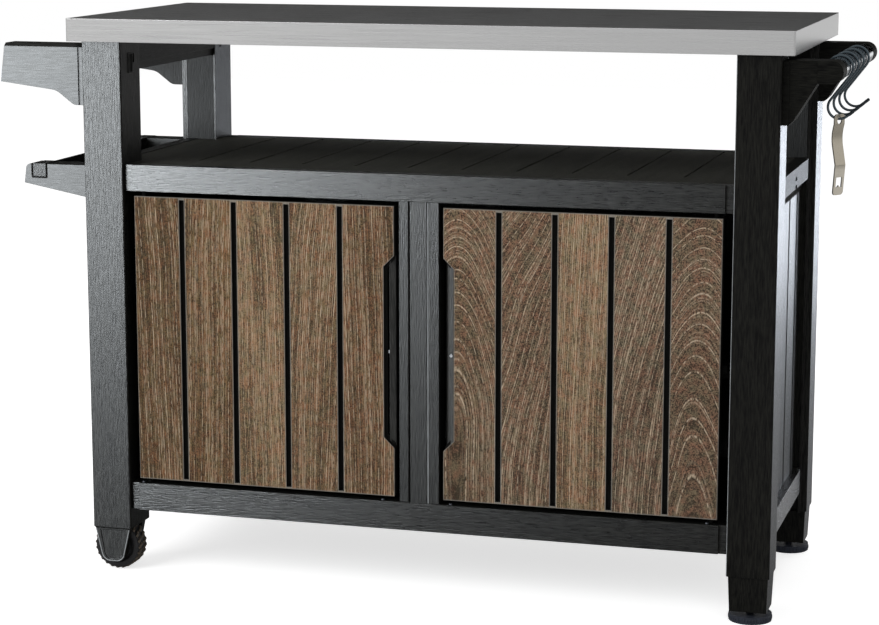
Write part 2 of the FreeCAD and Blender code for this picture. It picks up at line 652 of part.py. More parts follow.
def make_fork(end):
    """Wheel fork: a plug inside the leg and two tapered cheeks round the wheel."""
    toward = ENDS[end]
    body = new_body(f"wheel_fork_{end}", "-leg_axis", f"{toward} * foot_row")
    foot = "cheek_foot / 2"
    cheek = [("-cheek_top / 2", "leg_foot - fit_gap"), (f"-{foot}", "cheek_low"),
             (foot, "cheek_low"), ("cheek_top / 2", "leg_foot - fit_gap")]
    pad(body, "front", [cheek], "fork_deep")
    soften(body, "y", [(f"-{foot}", "cheek_low"), (foot, "cheek_low")], "cheek_round")
    add_plug(body, "left", end)
    arch = rect("-leg_width", "-cut_over", "leg_width", "2 * wheel_round + crown_gap")
    pocket(body, "front", [arch], "wheel_wide + 2 * cheek_gap")
    inlay = [("-cheek_top / 2 + 2 * cheek_rim", "leg_foot - cheek_rim"),
             (f"-{foot} + cheek_rim", "cheek_low + cheek_rim"),
             (f"{foot} - cheek_rim", "cheek_low + cheek_rim"),
             ("cheek_top / 2 - 2 * cheek_rim", "leg_foot - cheek_rim")]
    pocket(body, "front", [inlay], "2 * cheek_inlay", f"{toward} * fork_deep / 2")
    soften(body, "y", [(f"-{foot} + cheek_rim", "cheek_low + cheek_rim"),
                       (f"{foot} - cheek_rim", "cheek_low + cheek_rim")],
           "cheek_round - cheek_rim")
    pocket(body, "front", [ring("0", "wheel_round", "axle_round + running_gap / 2")],
           "fork_deep - 2 * cheek_rim")


def make_axles():
    axles = []
    for end, toward in ENDS.items():
        axles.append(rod(f"axle_{end}", "axle_round", "fork_deep - 2 * cheek_rim - 2 * fit_gap",
                         "y", "-leg_axis", f"{toward} * foot_row", "wheel_round"))
    group("wheel_axles", axles)


def round_loop(radii, count):
    """A closed outline of this many equal steps round the origin, at each radius in turn."""
    return [(f"({radius}) * sin({(k + shift) * 360 / count})",
             f"({radius}) * cos({(k + shift) * 360 / count})")
            for k in range(count) for shift, radius in radii]


def make_wheel(end):
    """Moulded wheel: a knobbly tread round a rim, dished sides and a hub."""
    toward = ENDS[end]
    body = new_body(f"{end}_wheel", "-leg_axis", f"{toward} * foot_row", "wheel_round")
    count = SIZES["tread_count"]
    rim = "(wheel_round - tread_deep)"
    knob = [(-0.25, "wheel_round"), (0.25, "wheel_round"), (0.36, rim), (0.64, rim)]
    pad(body, "front", [round_loop(knob, count)], "wheel_wide")
    dish = [round_loop([(0, f"{rim} - 2 * tread_deep")], count), ring("0", "0", "hub_round")]
    for face in (-1, 1):
        pocket(body, "front", dish, "2 * dish_deep", f"{face} * wheel_wide / 2")
    bore = ring("0", "0", "axle_round + running_gap")
    pocket(body, "front", [bore], "wheel_wide + 2 * cut_over")


def make_foot_socket(end):
    """Tapered socket under a right leg, with a plug inside the leg and a bore for the stem."""
    toward = ENDS[end]
    body = new_body(f"foot_socket_{end}", "leg_axis", f"{toward} * foot_row")
    low, high = "socket_low", "leg_foot - fit_gap"
    front = [("-socket_wide / 2", low), ("socket_wide / 2", low),
             ("socket_top_wide / 2", high), ("-socket_top_wide / 2", high)]
    pad(body, "front", [front], "socket_top_deep")
    wedges = [[(f"{face} * socket_deep / 2", low), (f"{face} * socket_top_deep / 2", high),
               (f"{face} * socket_top_deep", high), (f"{face} * socket_top_deep", low)]
              for face in (-1, 1)]
    pocket(body, "side", wedges, "2 * socket_top_wide")
    add_plug(body, "right", end)
    depth = "pad_thick + stem_long - socket_low + fit_gap"
    pocket(body, "top", [ring("0", "0", "stem_round + running_gap")], f"2 * ({depth})",
           "socket_low")


def make_foot(end):
    """Levelling foot: a disc pad on a stem."""
    toward = ENDS[end]
    body = new_body(f"{end}_foot", "leg_axis", f"{toward} * foot_row")
    pad(body, "top", [ring("0", "0", "pad_round")], "pad_thick", "pad_thick / 2")
    pad(body, "top", [ring("0", "0", "stem_round")], "stem_long", "pad_thick + stem_long / 2")


# Left side
def make_roll_bracket(end):
    """Curved bracket for the paper roll rod, with a bevelled top and a blind socket."""
    toward = ENDS[end]
    body = new_body(f"roll_bracket_{end}", "-leg_out",
                    f"{toward} * (bracket_front - bracket_thick / 2)")
    outline = [("0", "roll_foot"), ("-roll_knee_out", "roll_foot"),
               ("-roll_belly_out", "roll_top - roll_belly_drop"),
               ("-roll_reach", "roll_top - roll_tip_drop"),
               ("-roll_reach + roll_tip_lean", "roll_top"), ("0", "roll_top")]
    pad(body, "front", [outline], "bracket_thick")
    soften(body, "y", [outline[1]], "roll_knee_round")
    soften(body, "y", [outline[2]], "roll_belly_round")
    soften(body, "x", [(f"{end_sign} * bracket_thick / 2", "roll_top") for end_sign in (-1, 1)],
           "roll_bevel", "Chamfer")
    groove = rect("-flange_thick - post_gap / 2", "roll_foot - cut_over",
                  "-flange_thick + post_gap / 2", "roll_top - roll_bevel")
    pocket(body, "front", [groove], "2 * groove_deep", f"{toward} * bracket_thick / 2")
    socket = ring("-roll_axis_out", "roll_axis_up", "roll_pin + running_gap")
    pocket(body, "front", [socket], "2 * (roll_pin_long + cut_over)",
           f"{-toward} * bracket_thick / 2")


def make_roll_bar():
    """Rod for a paper roll, with a pin at each end."""
    body = new_body("roll_bar", "-leg_out - roll_axis_out", z="roll_axis_up")
    pad(body, "front", [ring("0", "0", "roll_round")], "2 * (bracket_back - fit_gap)")
    pad(body, "front", [ring("0", "0", "roll_pin")], "2 * (bracket_back + roll_pin_long)")


def make_rack_bracket(end):
    """End bracket of the condiment rack, with an open notch for the outer rail."""
    toward = ENDS[end]
    body = new_body(f"rack_bracket_{end}", "-leg_out",
                    f"{toward} * (bracket_front - bracket_thick / 2)")
    notch_out = "notch_in + rack_block + 2 * notch_gap"
    outline = [("0", "rack_foot"), ("-rack_reach", "rack_tip_low"),
               ("-rack_reach + rack_tip_lean", "rack_top"),
               (f"-({notch_out})", "rack_top"), (f"-({notch_out})", "notch_low"),
               ("-notch_in", "notch_low"), ("-notch_in", "rack_top"), ("0", "rack_top")]
    pad(body, "front", [outline], "bracket_thick")
    soften(body, "y", [outline[2]], "rack_tip_round")


def make_rack_rail():
    """Outer rail of the rack: a thin wall with a square block at each end."""
    out = "notch_in + notch_gap"
    body = new_body("rack_rail", "-leg_out")
    block_low = "notch_low + fit_gap"
    end_block = rect(f"-({out} + rack_block)", block_low, f"-({out})",
                     f"{block_low} + rack_block_tall")
    wall = rect(f"-({out} + rack_sheet)", block_low, f"-({out})",
                f"{block_low} + rack_block_tall")
    pad(body, "front", [wall], "2 * bracket_front")
    for toward in (-1, 1):
        pad(body, "front", [end_block], "bracket_thick",
            f"{toward} * (bracket_front - bracket_thick / 2)")


def make_rack_tray():
    """Sloped floor of the rack with a low wall under the outer rail."""
    body = new_body("rack_tray", "-leg_out")
    run = "(notch_in + notch_gap + rack_sheet)"
    rise = f"(rack_tip_low - rack_foot) * {run} / rack_reach"
    low = "rack_foot + rack_sheet"
    outline = [("-fit_gap", low), (f"-{run}", f"{low} + {rise}"),
               (f"-{run}", "notch_low"), (f"-{run} + rack_sheet", "notch_low"),
               (f"-{run} + rack_sheet", f"{low} + {rise} + rack_sheet"),
               ("-fit_gap", f"{low} + rack_sheet")]
    pad(body, "front", [outline], "2 * (bracket_back - fit_gap)")


# Right side
def make_tool_bracket(end):
    """Bracket for the steel tube: flange, sloped gusset and an arm with a round end."""
    toward = ENDS[end]
    body = new_body(f"tool_bracket_{end}", "leg_out",
                    f"{toward} * (bracket_front - bracket_thick / 2)")
    arm_low = "tool_top - arm_tall"
    arm_in = "tool_reach - arm_long"
    outline = [("0", "tool_foot"), ("tool_flange", "tool_foot"),
               ("tool_flange + tool_chamfer", "tool_foot + tool_chamfer"),
               (arm_in, arm_low), ("tool_reach", arm_low), ("tool_reach", "tool_top"),
               ("0", "tool_top")]
    pad(body, "front", [outline], "bracket_thick")
    soften(body, "y", [outline[4], outline[5]], "arm_tall / 2 - running_gap")
    outer = f"{toward} * bracket_thick / 2"
    gusset = [(arm_in, arm_low), (arm_in, "tool_top + cut_over"),
              ("tool_flange", "tool_top + cut_over"), ("tool_flange", "tool_foot - cut_over"),
              ("tool_flange + 2 * tool_chamfer", "tool_foot - cut_over")]
    pocket(body, "front", [gusset], "2 * groove_deep", outer)
    centre = ("tool_reach - arm_tall / 2", "tube_up")
    inner = f"{-toward} * bracket_thick / 2"
    pad(body, "front", [ring(*centre, "tube_round - tube_wall - running_gap")], "spigot_long",
        f"{inner} - {toward} * spigot_long / 2")


def make_tool_bar():
    """Steel tube between the two right brackets."""
    body = new_body("tool_bar", "tube_out", z="tube_up")
    pad(body, "front", [ring("0", "0", "tube_round"), ring("0", "0", "tube_round - tube_wall")],
        "2 * (bracket_back - fit_gap)")


def hook_route():
    """Points along an S-hook's centre line, measured from the tube's axis: over the tube,
    straight across below it, and up again round the bowl to a straight tip."""
    wrap = number("tube_round + hook_wire + fit_gap")
    bowl = number("hook_bowl")
    rise = math.radians(number("hook_tip_rise"))
    leave = math.acos((wrap + bowl) / number("hook_drop")) - math.pi / 2
    tail = leave + math.radians(number("hook_tail"))
    arrive, finish = leave + math.pi, rise + 1.5 * math.pi

    def bend(height, radius, first, last):
        count = math.ceil(abs(last - first) / math.radians(number("hook_bend")))
        angles = [first + (last - first) * k / count for k in range(count + 1)]
        return [Vector(radius * math.cos(angle), 0, height + radius * math.sin(angle))
                for angle in angles]

    points = bend(0, wrap, tail, leave) + bend(-number("hook_drop"), bowl, arrive, finish)
    tip_long = (number("hook_tip_out") - points[-1].x) / math.cos(rise)
    points.append(points[-1] + Vector(math.cos(rise), 0, math.sin(rise)) * tip_long)
    return points


def make_hook(index):
    """Steel S-hook number index, counted from the front, in wire with a few flat sides."""
    points = hook_route()
    heading = (points[1] - points[0]).normalize()
    across = Vector(0, 1, 0)
    outward = heading.cross(across)
    step = 2 * math.pi / SIZES["wire_sides"]
    corners = [points[0] + (outward * math.cos(k * step) + across * math.sin(k * step))
               * number("hook_wire") for k in range(SIZES["wire_sides"])]
    section = Part.makePolygon(corners + corners[:1])
    item = doc.addObject("Part::Feature", f"hook_{index}")
    item.Label = f"hook_{index}"
    item.Shape = Part.makePolygon(points).makePipeShell([section], True, False, 1)
    item.Placement = Placement(
        Vector(number("tube_out + mid"), number(f"hook_first + {index - 1} * hook_pitch"),
               number("tube_up")), Rotation())
    return keep(item)


def make_opener():
    """Flat steel bottle opener: bowed above its crease, with a hanging hole and a toothed
    window. Its sketches are measured from the centre of the wire that it hangs on."""
    body = new_body("bottle_opener", "tube_out", "hook_first",
                    "tube_up - hook_drop - hook_bowl")
    body.Placement.Rotation = Rotation(Vector(0, 0, 1), 1)
    bind(body, "Placement.Rotation.Angle", "opener_turn - 90")
    hole_up = "(hook_wire + 2 * fit_gap - opener_hole)"
    top = f"({hole_up} + opener_hole + opener_frame)"
    foot = f"({top} - opener_long)"
    half = "opener_thick / 2"
    bend = [("0", top), ("0", f"{hole_up} - opener_hole"),
            ("-opener_belly", f"{top} - opener_belly_down"),
            ("opener_crease", f"{top} - opener_crease_down"), ("0", foot)]
    strip = ([(f"{u} + {half}", v) for u, v in bend]
             + [(f"{u} - {half}", v) for u, v in reversed(bend)])
    pad(body, "front", [strip], "opener_wide")
    soften(body, "y", [strip[2], strip[7]], "opener_curve")
    through = "2 * (opener_belly + opener_crease + opener_thick)"
    pocket(body, "side", [ring("0", hole_up, "opener_hole")], through)
    side = "(opener_wide / 2 - opener_frame)"
    low, high = f"({foot} + window_up)", f"({foot} + window_up + window_tall)"
    window = [(f"-{side}", low), ("-tooth_wide / 2", low), ("0", f"{low} + tooth_tall"),
              ("tooth_wide / 2", low), (side, low), (side, high), (f"-{side}", high)]
    pocket(body, "side", [window], through)
    for level in (top, foot):
        soften(body, "x", [(f"{sign} * opener_wide / 2", level) for sign in (-1, 1)],
               "opener_wide / 4")


make_worktop()
make_worktop_core()
for side in SIDES:
    make_top_rail(side)
for end in ENDS:
    for side in SIDES:
        make_leg(end, side)
make_leg_covers()
make_rails()
make_deck()
make_floor()
make_centre_post()
make_back_post()
for side in SIDES:
    make_side_panel(side)
    make_back_panel(side)
    make_inner_shelf(side)
make_shelf_ledges()
make_door_catches()
for side in SIDES:
    make_door(side)
for end in ENDS:
    make_fork(end)
    make_wheel(end)
    make_foot_socket(end)
    make_foot(end)
    make_roll_bracket(end)
    make_rack_bracket(end)
    make_tool_bracket(end)
make_axles()
make_roll_bar()
make_rack_rail()
make_rack_tray()
make_tool_bar()
for index in range(1, 5):
    make_hook(index)
make_opener()
doc.recompute()

# Every object is sound before anything is written.
for item in doc.Objects:
    if {"Invalid", "Error"} & set(item.State):
        raise RuntimeError(f"{item.Name} failed: {item.State}")
for item in pieces:
    if item.Shape.isNull() or not item.Shape.isValid():
        raise RuntimeError(f"{item.Label} has no sound shape")

os.makedirs("parts", exist_ok=True)
for item in pieces:
    item.Shape.exportStep(f"parts/{item.Label}.step")
whole = Part.makeCompound([item.Shape for item in pieces]).BoundBox
print(f"{len(pieces)} sub-parts, {whole.XLength:.1f} x {whole.YLength:.1f} x {whole.ZLength:.1f} mm")
print(f"x {whole.XMin:.2f} to {whole.XMax:.2f}, y {whole.YMin:.2f} to {whole.YMax:.2f}, "
      f"z {whole.ZMin:.2f} to {whole.ZMax:.2f}")
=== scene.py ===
# %% [markdown]
# # A grill cart with storage, dressed for its portrait
# The cart's solids come packed in one fixed frame, in metres, with +X to the right, +Y to the
# back and the floor at z = 0. This lesson gives them their finishes and adds the small
# pieces that a solid model leaves out. Nothing that the frame holds is moved.

# %% Load the fixed frame
import bpy
import bmesh
import math
from mathutils import Euler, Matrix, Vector


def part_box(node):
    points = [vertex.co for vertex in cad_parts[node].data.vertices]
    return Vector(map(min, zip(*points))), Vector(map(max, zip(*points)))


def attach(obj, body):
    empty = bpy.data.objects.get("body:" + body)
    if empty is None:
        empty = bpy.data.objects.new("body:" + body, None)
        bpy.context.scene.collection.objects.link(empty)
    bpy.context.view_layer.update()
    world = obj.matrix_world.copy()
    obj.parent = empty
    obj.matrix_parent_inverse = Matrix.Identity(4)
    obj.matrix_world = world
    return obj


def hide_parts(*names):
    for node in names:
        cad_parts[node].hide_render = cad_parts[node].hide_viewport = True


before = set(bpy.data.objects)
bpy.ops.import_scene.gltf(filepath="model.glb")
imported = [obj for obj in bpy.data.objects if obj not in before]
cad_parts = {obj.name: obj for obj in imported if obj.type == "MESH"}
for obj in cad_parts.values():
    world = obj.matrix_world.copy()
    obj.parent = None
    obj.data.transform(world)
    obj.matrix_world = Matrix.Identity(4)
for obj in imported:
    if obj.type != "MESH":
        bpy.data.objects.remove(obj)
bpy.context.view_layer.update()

# %% [markdown]
# ## The camera
# The photograph was taken from the right of the cart's middle and a little above its top,
# with a long lens. The place, the turn and the lens below were solved from the corners of the
# worktop, the legs and the doors, so the camera needs no shift.

# %% Set up the camera
PICTURE_WIDTH = 879
FOCAL_PIXELS = 2416.5
LOOK_DOWN, LOOK_LEFT = math.radians(10.20), math.radians(16.18)


def put(name, data):
    """A new object in the scene that holds the data."""
    thing = bpy.data.objects.new(name, data)
    bpy.context.scene.collection.objects.link(thing)
    return thing


camera_data = bpy.data.cameras.new("portrait_camera")
camera_data.sensor_width = 36.0
camera_data.lens = FOCAL_PIXELS / PICTURE_WIDTH * camera_data.sensor_width
camera = put("portrait_camera", camera_data)
camera.location = (1.08347, -3.75911, 1.11754)
camera.rotation_euler = Euler((math.pi / 2 - LOOK_DOWN, 0, LOOK_LEFT))
bpy.context.scene.camera = camera
print("Lens", round(camera_data.lens, 1), "mm")

# %% [markdown]
# ## Helpers for nodes and colours
# Every finish is a small tree of nodes. One function adds a node with its settings and feeds
# its inputs: a node or a socket is linked, and anything else is a plain value. Colours are
# written as the hex values that a paint chart would show, and one function turns them to
# linear light.

# %% Node and colour helpers
def linear(hex_value):
    """The linear RGBA of a colour written as #rrggbb."""
    parts = [int(hex_value[i:i + 2], 16) / 255 for i in (1, 3, 5)]
    return tuple(c / 12.92 if c <= 0.04045 else ((c + 0.055) / 1.055) ** 2.4
                 for c in parts) + (1.0,)


def feed(tree, node, inputs):
    """Set a node's inputs. A node stands for its first output."""
    for name, value in inputs.items():
        if isinstance(value, bpy.types.Node):
            value = value.outputs[0]
        if isinstance(value, bpy.types.NodeSocket):
            tree.links.new(value, node.inputs[name])
        else:
            node.inputs[name].default_value = value


def add(tree, kind, inputs=None, **settings):
    """Add a node with its settings and feed its inputs."""
    node = tree.nodes.new(kind)
    for name, value in settings.items():
        setattr(node, name, value)
    feed(tree, node, inputs or {})
    return node


def empty_tree(owner):
    """The node tree of a world or a material, cleared."""
    owner.use_nodes = True
    owner.node_tree.nodes.clear()
    return owner.node_tree


def new_material(name):
    """A material with nothing but a Principled shader wired to the output."""
    material = bpy.data.materials.new(name)
    tree = empty_tree(material)
    shader = add(tree, "ShaderNodeBsdfPrincipled")
    add(tree, "ShaderNodeOutputMaterial", {"Surface": shader})
    return material, tree, shader


print("Mid grey in linear light:", [round(c, 3) for c in linear("#808080")[:3]])

# %% [markdown]
# ## The studio
# The cart stands on a pale floor in front of white. The world turns white only for the camera
# and for what metal mirrors, and the floor only for the camera, so the white costs no extra
# light on the cart and the floor still holds its shadow.

# %% World and floor
WORLD_LIGHT, PAPER_GLOW = 0.45, 0.68


def seen_ray(tree):
    """1 for camera, glossy and transmission rays, 0 for the rays that carry light."""
    path = add(tree, "ShaderNodeLightPath")
    seen = path.outputs["Is Camera Ray"]
    for kind in ("Is Glossy Ray", "Is Transmission Ray"):
        seen = add(tree, "ShaderNodeMath", {0: seen, 1: path.outputs[kind]},
                   operation="MAXIMUM")
    return seen


def stage_sheet(name, corners, material):
    """A flat sheet that belongs to the studio and not to the cart."""
    mesh = bpy.data.meshes.new(name)
    mesh.from_pydata(corners, [], [(0, 1, 2, 3)])
    mesh.materials.append(material)
    sheet = put(name, mesh)
    return sheet


world = bpy.data.worlds.new("white_studio")
bpy.context.scene.world = world
sky_tree = empty_tree(world)
strength = add(sky_tree, "ShaderNodeMapRange", {"Value": seen_ray(sky_tree),
                                                "To Min": WORLD_LIGHT, "To Max": 1.0})
sky = add(sky_tree, "ShaderNodeBackground", {"Color": (1, 1, 1, 1), "Strength": strength})
add(sky_tree, "ShaderNodeOutputWorld", {"Surface": sky})

paper = bpy.data.materials.new("white_paper_floor")
paper_tree = empty_tree(paper)
matte = add(paper_tree, "ShaderNodeBsdfDiffuse", {"Color": linear("#e8e8e8")})
camera_ray = add(paper_tree, "ShaderNodeLightPath").outputs["Is Camera Ray"]
lift = add(paper_tree, "ShaderNodeMath", {0: camera_ray, 1: PAPER_GLOW}, operation="MULTIPLY")
glow = add(paper_tree, "ShaderNodeEmission", {"Strength": lift})
lit_paper = add(paper_tree, "ShaderNodeAddShader", {0: matte, 1: glow})
add(paper_tree, "ShaderNodeOutputMaterial", {"Surface": lit_paper})
floor = stage_sheet("studio_floor", [(-9, -7, 0), (9, -7, 0), (9, 9, 0), (-9, 9, 0)], paper)
print("Stage:", floor.name)

# %% [markdown]
# ## The lamps
# A large soft lamp stands to the left, a smaller one to the right, and one hangs above. Only
# the large one shows in gloss, so each edge carries one highlight, as in the photograph.

# %% Soft lamps
def soft_lamp(name, place, aim, size, power):
    """A rectangular soft lamp that looks at a point."""
    data = bpy.data.lights.new(name, "AREA")
    data.shape = "RECTANGLE"
    data.size, data.size_y = size
    data.energy = power
    lamp = put(name, data)
    lamp.location = place
    lamp.rotation_euler = (Vector(aim) - Vector(place)).to_track_quat("-Z", "Y").to_euler()
    return lamp


key_lamp = soft_lamp("key_lamp", place=(-2.3, -2.9, 2.4), aim=(-0.1, 0, 0.5),
                     size=(2.2, 2.0), power=85)
fill_lamp = soft_lamp("fill_lamp", place=(1.9, -3.4, 2.0), aim=(0.2, 0, 0.5),
                      size=(1.8, 1.8), power=20)
top_lamp = soft_lamp("top_lamp", place=(0.2, 0.6, 3.2), aim=(0, 0, 0.6), size=(2.4, 1.6),
                     power=36)
fill_lamp.visible_glossy = False
top_lamp.visible_glossy = False
bpy.context.scene.view_settings.view_transform = "Standard"
print("Lamps:", [lamp.name for lamp in (key_lamp, fill_lamp, top_lamp)])

# %% [markdown]
# ## Sheen lamps and a flag
# In the photograph the dark resin is pale grey at the upper left and almost black at the right:
# the mould grain scatters the glare of a bright panel beside the camera. Such a lamp would
# burn out the steel and the doors, so two lamps shine on the resin pieces only, and only into
# their gloss. Behind the cart stands a black flag that only gloss can see, which is how a
# photographer keeps a brushed steel top dark.

# %% Sheen lamps and flag
left_resin = bpy.data.collections.new("resin_in_the_left_sheen")
right_resin = bpy.data.collections.new("resin_in_the_right_sheen")


def sheen_lamp(name, pieces, tint, **settings):
    """A soft tinted lamp that shows only as gloss on the resin pieces."""
    lamp = soft_lamp(name, **settings)
    lamp.data.color = linear(tint)[:3]
    lamp.visible_diffuse = False
    lamp.visible_camera = False
    lamp.light_linking.receiver_collection = pieces
    return lamp


left_sheen = sheen_lamp("left_sheen", left_resin, "#f1f7fb", place=(-2.1, -2.3, 0.8),
                        aim=(-0.5, 0, 0.6), size=(1.9, 1.6), power=1130)
right_sheen = sheen_lamp("right_sheen", right_resin, "#e9f0fb", place=(2.0, 2.6, 0.25),
                         aim=(0.55, 0, 0.3), size=(1.4, 0.9), power=88)

cloth = bpy.data.materials.new("black_flag_cloth")
cloth_tree = empty_tree(cloth)
dull = add(cloth_tree, "ShaderNodeBsdfDiffuse", {"Color": linear("#050505")})
add(cloth_tree, "ShaderNodeOutputMaterial", {"Surface": dull})
flag = stage_sheet("black_flag", [(-5.5, 3.2, 0.83), (2.2, 3.2, 0.83), (2.2, 3.2, 3.8),
                                  (-5.5, 3.2, 3.8)], cloth)
for ray in ("camera", "diffuse", "shadow", "transmission", "volume_scatter"):
    setattr(flag, f"visible_{ray}", False)
print("Sheen lamps:", left_sheen.name, right_sheen.name)

# %% [markdown]
# ## Moulded resin
# The legs, rails, panels and brackets are injection-moulded polypropylene. The mould was
# textured like sawn wood, so the surface carries shallow streaks that run along each piece.
# The streaks are noise stretched along one axis: 1.6 mm across and 20 mm long, which is a
# little coarser than the real ones so that they still show in a picture of the whole.

# %% A helper for moulded resin
def grain_vector(tree, along, across_mm, along_mm):
    """Object coordinates counted in streaks, stretched along one axis."""
    place = add(tree, "ShaderNodeTexCoord").outputs["Object"]
    scale = [1000 / across_mm] * 3
    scale["xyz".index(along)] = 1000 / along_mm
    return add(tree, "ShaderNodeMapping", {"Vector": place, "Scale": scale})


def raised(tree, height, strength, relief_mm, edge_mm):
    """A normal that follows a height, on edges that look rounded."""
    roundness = add(tree, "ShaderNodeBevel", {"Radius": edge_mm / 1000}, samples=4)
    return add(tree, "ShaderNodeBump", {"Height": height, "Strength": strength,
                                        "Distance": relief_mm / 1000, "Normal": roundness})


def grained(tree, grain, rough, strength, relief_mm, edge_mm):
    """Roughness and relief that follow a grain, as inputs for a shader."""
    uneven = add(tree, "ShaderNodeMapRange", {"Value": grain, "From Min": 0.3, "From Max": 0.7,
                                              "To Min": rough - 0.06, "To Max": rough + 0.06})
    return {"Roughness": uneven, "Normal": raised(tree, grain, strength, relief_mm, edge_mm)}


STREAK_MM, CLOUD_MM = (1.6, 20), (14, 160)


def resin(name, along, dark, pale, gloss=0.08, rough=0.38, relief_mm=0.7, edge_mm=0.8):
    """Moulded polypropylene with wood-grain relief that runs along one axis."""
    material, tree, shader = new_material(name)
    streak = add(tree, "ShaderNodeTexNoise", {"Vector": grain_vector(tree, along, *STREAK_MM),
                                              "Scale": 1.0, "Detail": 3.0, "Roughness": 0.6})
    cloud = add(tree, "ShaderNodeTexNoise", {"Vector": grain_vector(tree, along, *CLOUD_MM),
                                             "Scale": 1.0, "Detail": 2.0})
    blend = add(tree, "ShaderNodeMix", {"Factor": 0.2, "A": streak.outputs[0],
                                        "B": cloud.outputs[0]})
    tone = add(tree, "ShaderNodeMapRange", {"Value": blend, "From Min": 0.38,
                                            "From Max": 0.64})
    colour = add(tree, "ShaderNodeMix", {"Factor": tone, "A": linear(dark),
                                         "B": linear(pale)}, data_type="RGBA")
    feed(tree, shader, {"Base Color": colour.outputs["Result"], "Specular IOR Level": gloss,
                        **grained(tree, streak, rough, 1.0, relief_mm, edge_mm)})
    return material


print("Streaks in millimetres, across and along:", STREAK_MM)

# %% [markdown]
# ## The resin finishes
# Graphite resin is almost black by itself, and its grey is all sheen. The finishes differ in
# the way their streaks run and in how polished the mould was: front rails and lower side rails
# shine, arms and deck are dull. The pieces at the back are painted a little paler, as in the
# photograph: a lit copy of the same resin, painted light that stands in for the glare on them.

# %% Graphite and black resin
GRAPHITE = ("#040404", "#1b1b18")
graphite = {axis: resin(f"graphite_resin_along_{axis}", axis, *GRAPHITE, edge_mm=1.2)
            for axis in "yz"}
# A paler copy of graphite for the back pieces: painted light, the glare that falls on them.
lit_copy_back_graphite = {axis: resin(f"graphite_resin_back_{axis}", axis, "#0b0b0b", "#272725",
                             edge_mm=1.2) for axis in "xz"}
rail_graphite = resin("graphite_resin_front_rails", "x", *GRAPHITE, gloss=0.12, rough=0.305,
                      relief_mm=0.5)
smooth_graphite = resin("graphite_resin_smooth", "x", *GRAPHITE, relief_mm=0.1, rough=0.4)
coarse_graphite = resin("graphite_resin_coarse", "z", *GRAPHITE, gloss=0.055, rough=0.6)
upper_side_rail = resin("graphite_resin_upper_side_rail", "y", *GRAPHITE, gloss=0.055,
                        rough=0.55)
lower_side_rail = resin("graphite_resin_lower_side_rail", "y", *GRAPHITE, gloss=0.18,
                        rough=0.3)
matte_graphite = resin("matte_resin_right_arms", "x", *GRAPHITE, gloss=0.05, rough=0.5,
                       relief_mm=0.1)
# The deck is painted lighter than its black resin: painted light that makes up for the worktop's
# shade on it.
shade_lifted_deck_resin = resin("black_deck_resin", "y", "#2a2a27", "#464641", gloss=0.05, rough=0.6)
black = {axis: resin(f"black_resin_along_{axis}", axis, "#0f0f0e", "#191918", gloss=0.05,
                     rough=0.6) for axis in "xyz"}
# The grip strips are painted paler than graphite: painted light where they catch the sheen.
paler_lit_grip_resin = resin("graphite_grip_strip", "z", "#292928", "#41413f", gloss=0.07, rough=0.45)
tip_resin = resin("dipped_hook_tip", "x", "#20262b", "#2e353b", gloss=0.2, rough=0.4)
# Pale resin for thin wires that paint highlights along rims and edges.
highlight_bead_resin = resin("painted_highlight_resin", "z", "#85898b", "#a6aaad", gloss=0.5, rough=0.2)
wheel_resin = resin("black_wheel_resin", "y", "#111112", "#202022", gloss=0.3, rough=0.45)
tread_resin = resin("dusty_tread_resin", "y", "#37302a", "#685e51", gloss=0.2, rough=0.5)
foot_resin = resin("dark_foot_resin", "z", "#20232b", "#31353f", gloss=0.2, rough=0.45)
print("Resin finishes:", [f.name for f in bpy.data.materials if f not in (paper, cloth)])

# %% [markdown]
# ## Brushed steel
# The worktop is folded stainless sheet, brushed along its length. Its edge is seen square on
# and mirrors the white studio, while its top is seen at a slant and mirrors the dark room.
# The opener is stamped strip, painted paler below its bend and darker above it: painted light
# and shade of the bend.

# %% Steel finishes
BRUSH_MM, BRUSH_RELIEF_MM = (0.8, 120), 0.02


def steel(name, along, colour, rough, edge_mm=0.6):
    """Brushed or plain steel, with brush lines along one axis."""
    material, tree, shader = new_material(name)
    brush = add(tree, "ShaderNodeTexNoise", {"Vector": grain_vector(tree, along, *BRUSH_MM),
                                             "Scale": 1.0, "Detail": 2.0})
    feed(tree, shader, {"Base Color": linear(colour), "Metallic": 1.0,
                        **grained(tree, brush, rough, 0.5, BRUSH_RELIEF_MM, edge_mm)})
    return material


SHADED_ABOVE_BEND, LIT_BELOW_BEND = "#a69f91", "#d9d2c4"
BEND_DROP, BEND_HALF = 0.07935, 0.004
worktop_steel = steel("brushed_stainless_sheet", "x", "#b0b0b0", 0.30, edge_mm=1.4)
tube_steel = steel("polished_steel_tube", "y", "#c4c8cc", 0.16)
hook_steel = steel("dark_hook_steel", "x", "#454d52", 0.26)
strip_steel = steel("stamped_steel_strip", "z", LIT_BELOW_BEND, 0.32)
screw_steel = steel("zinc_plated_steel", "z", "#c9ccd0", 0.25)
dark_screw = steel("blackened_steel_screw", "z", "#3a3c40", 0.35)

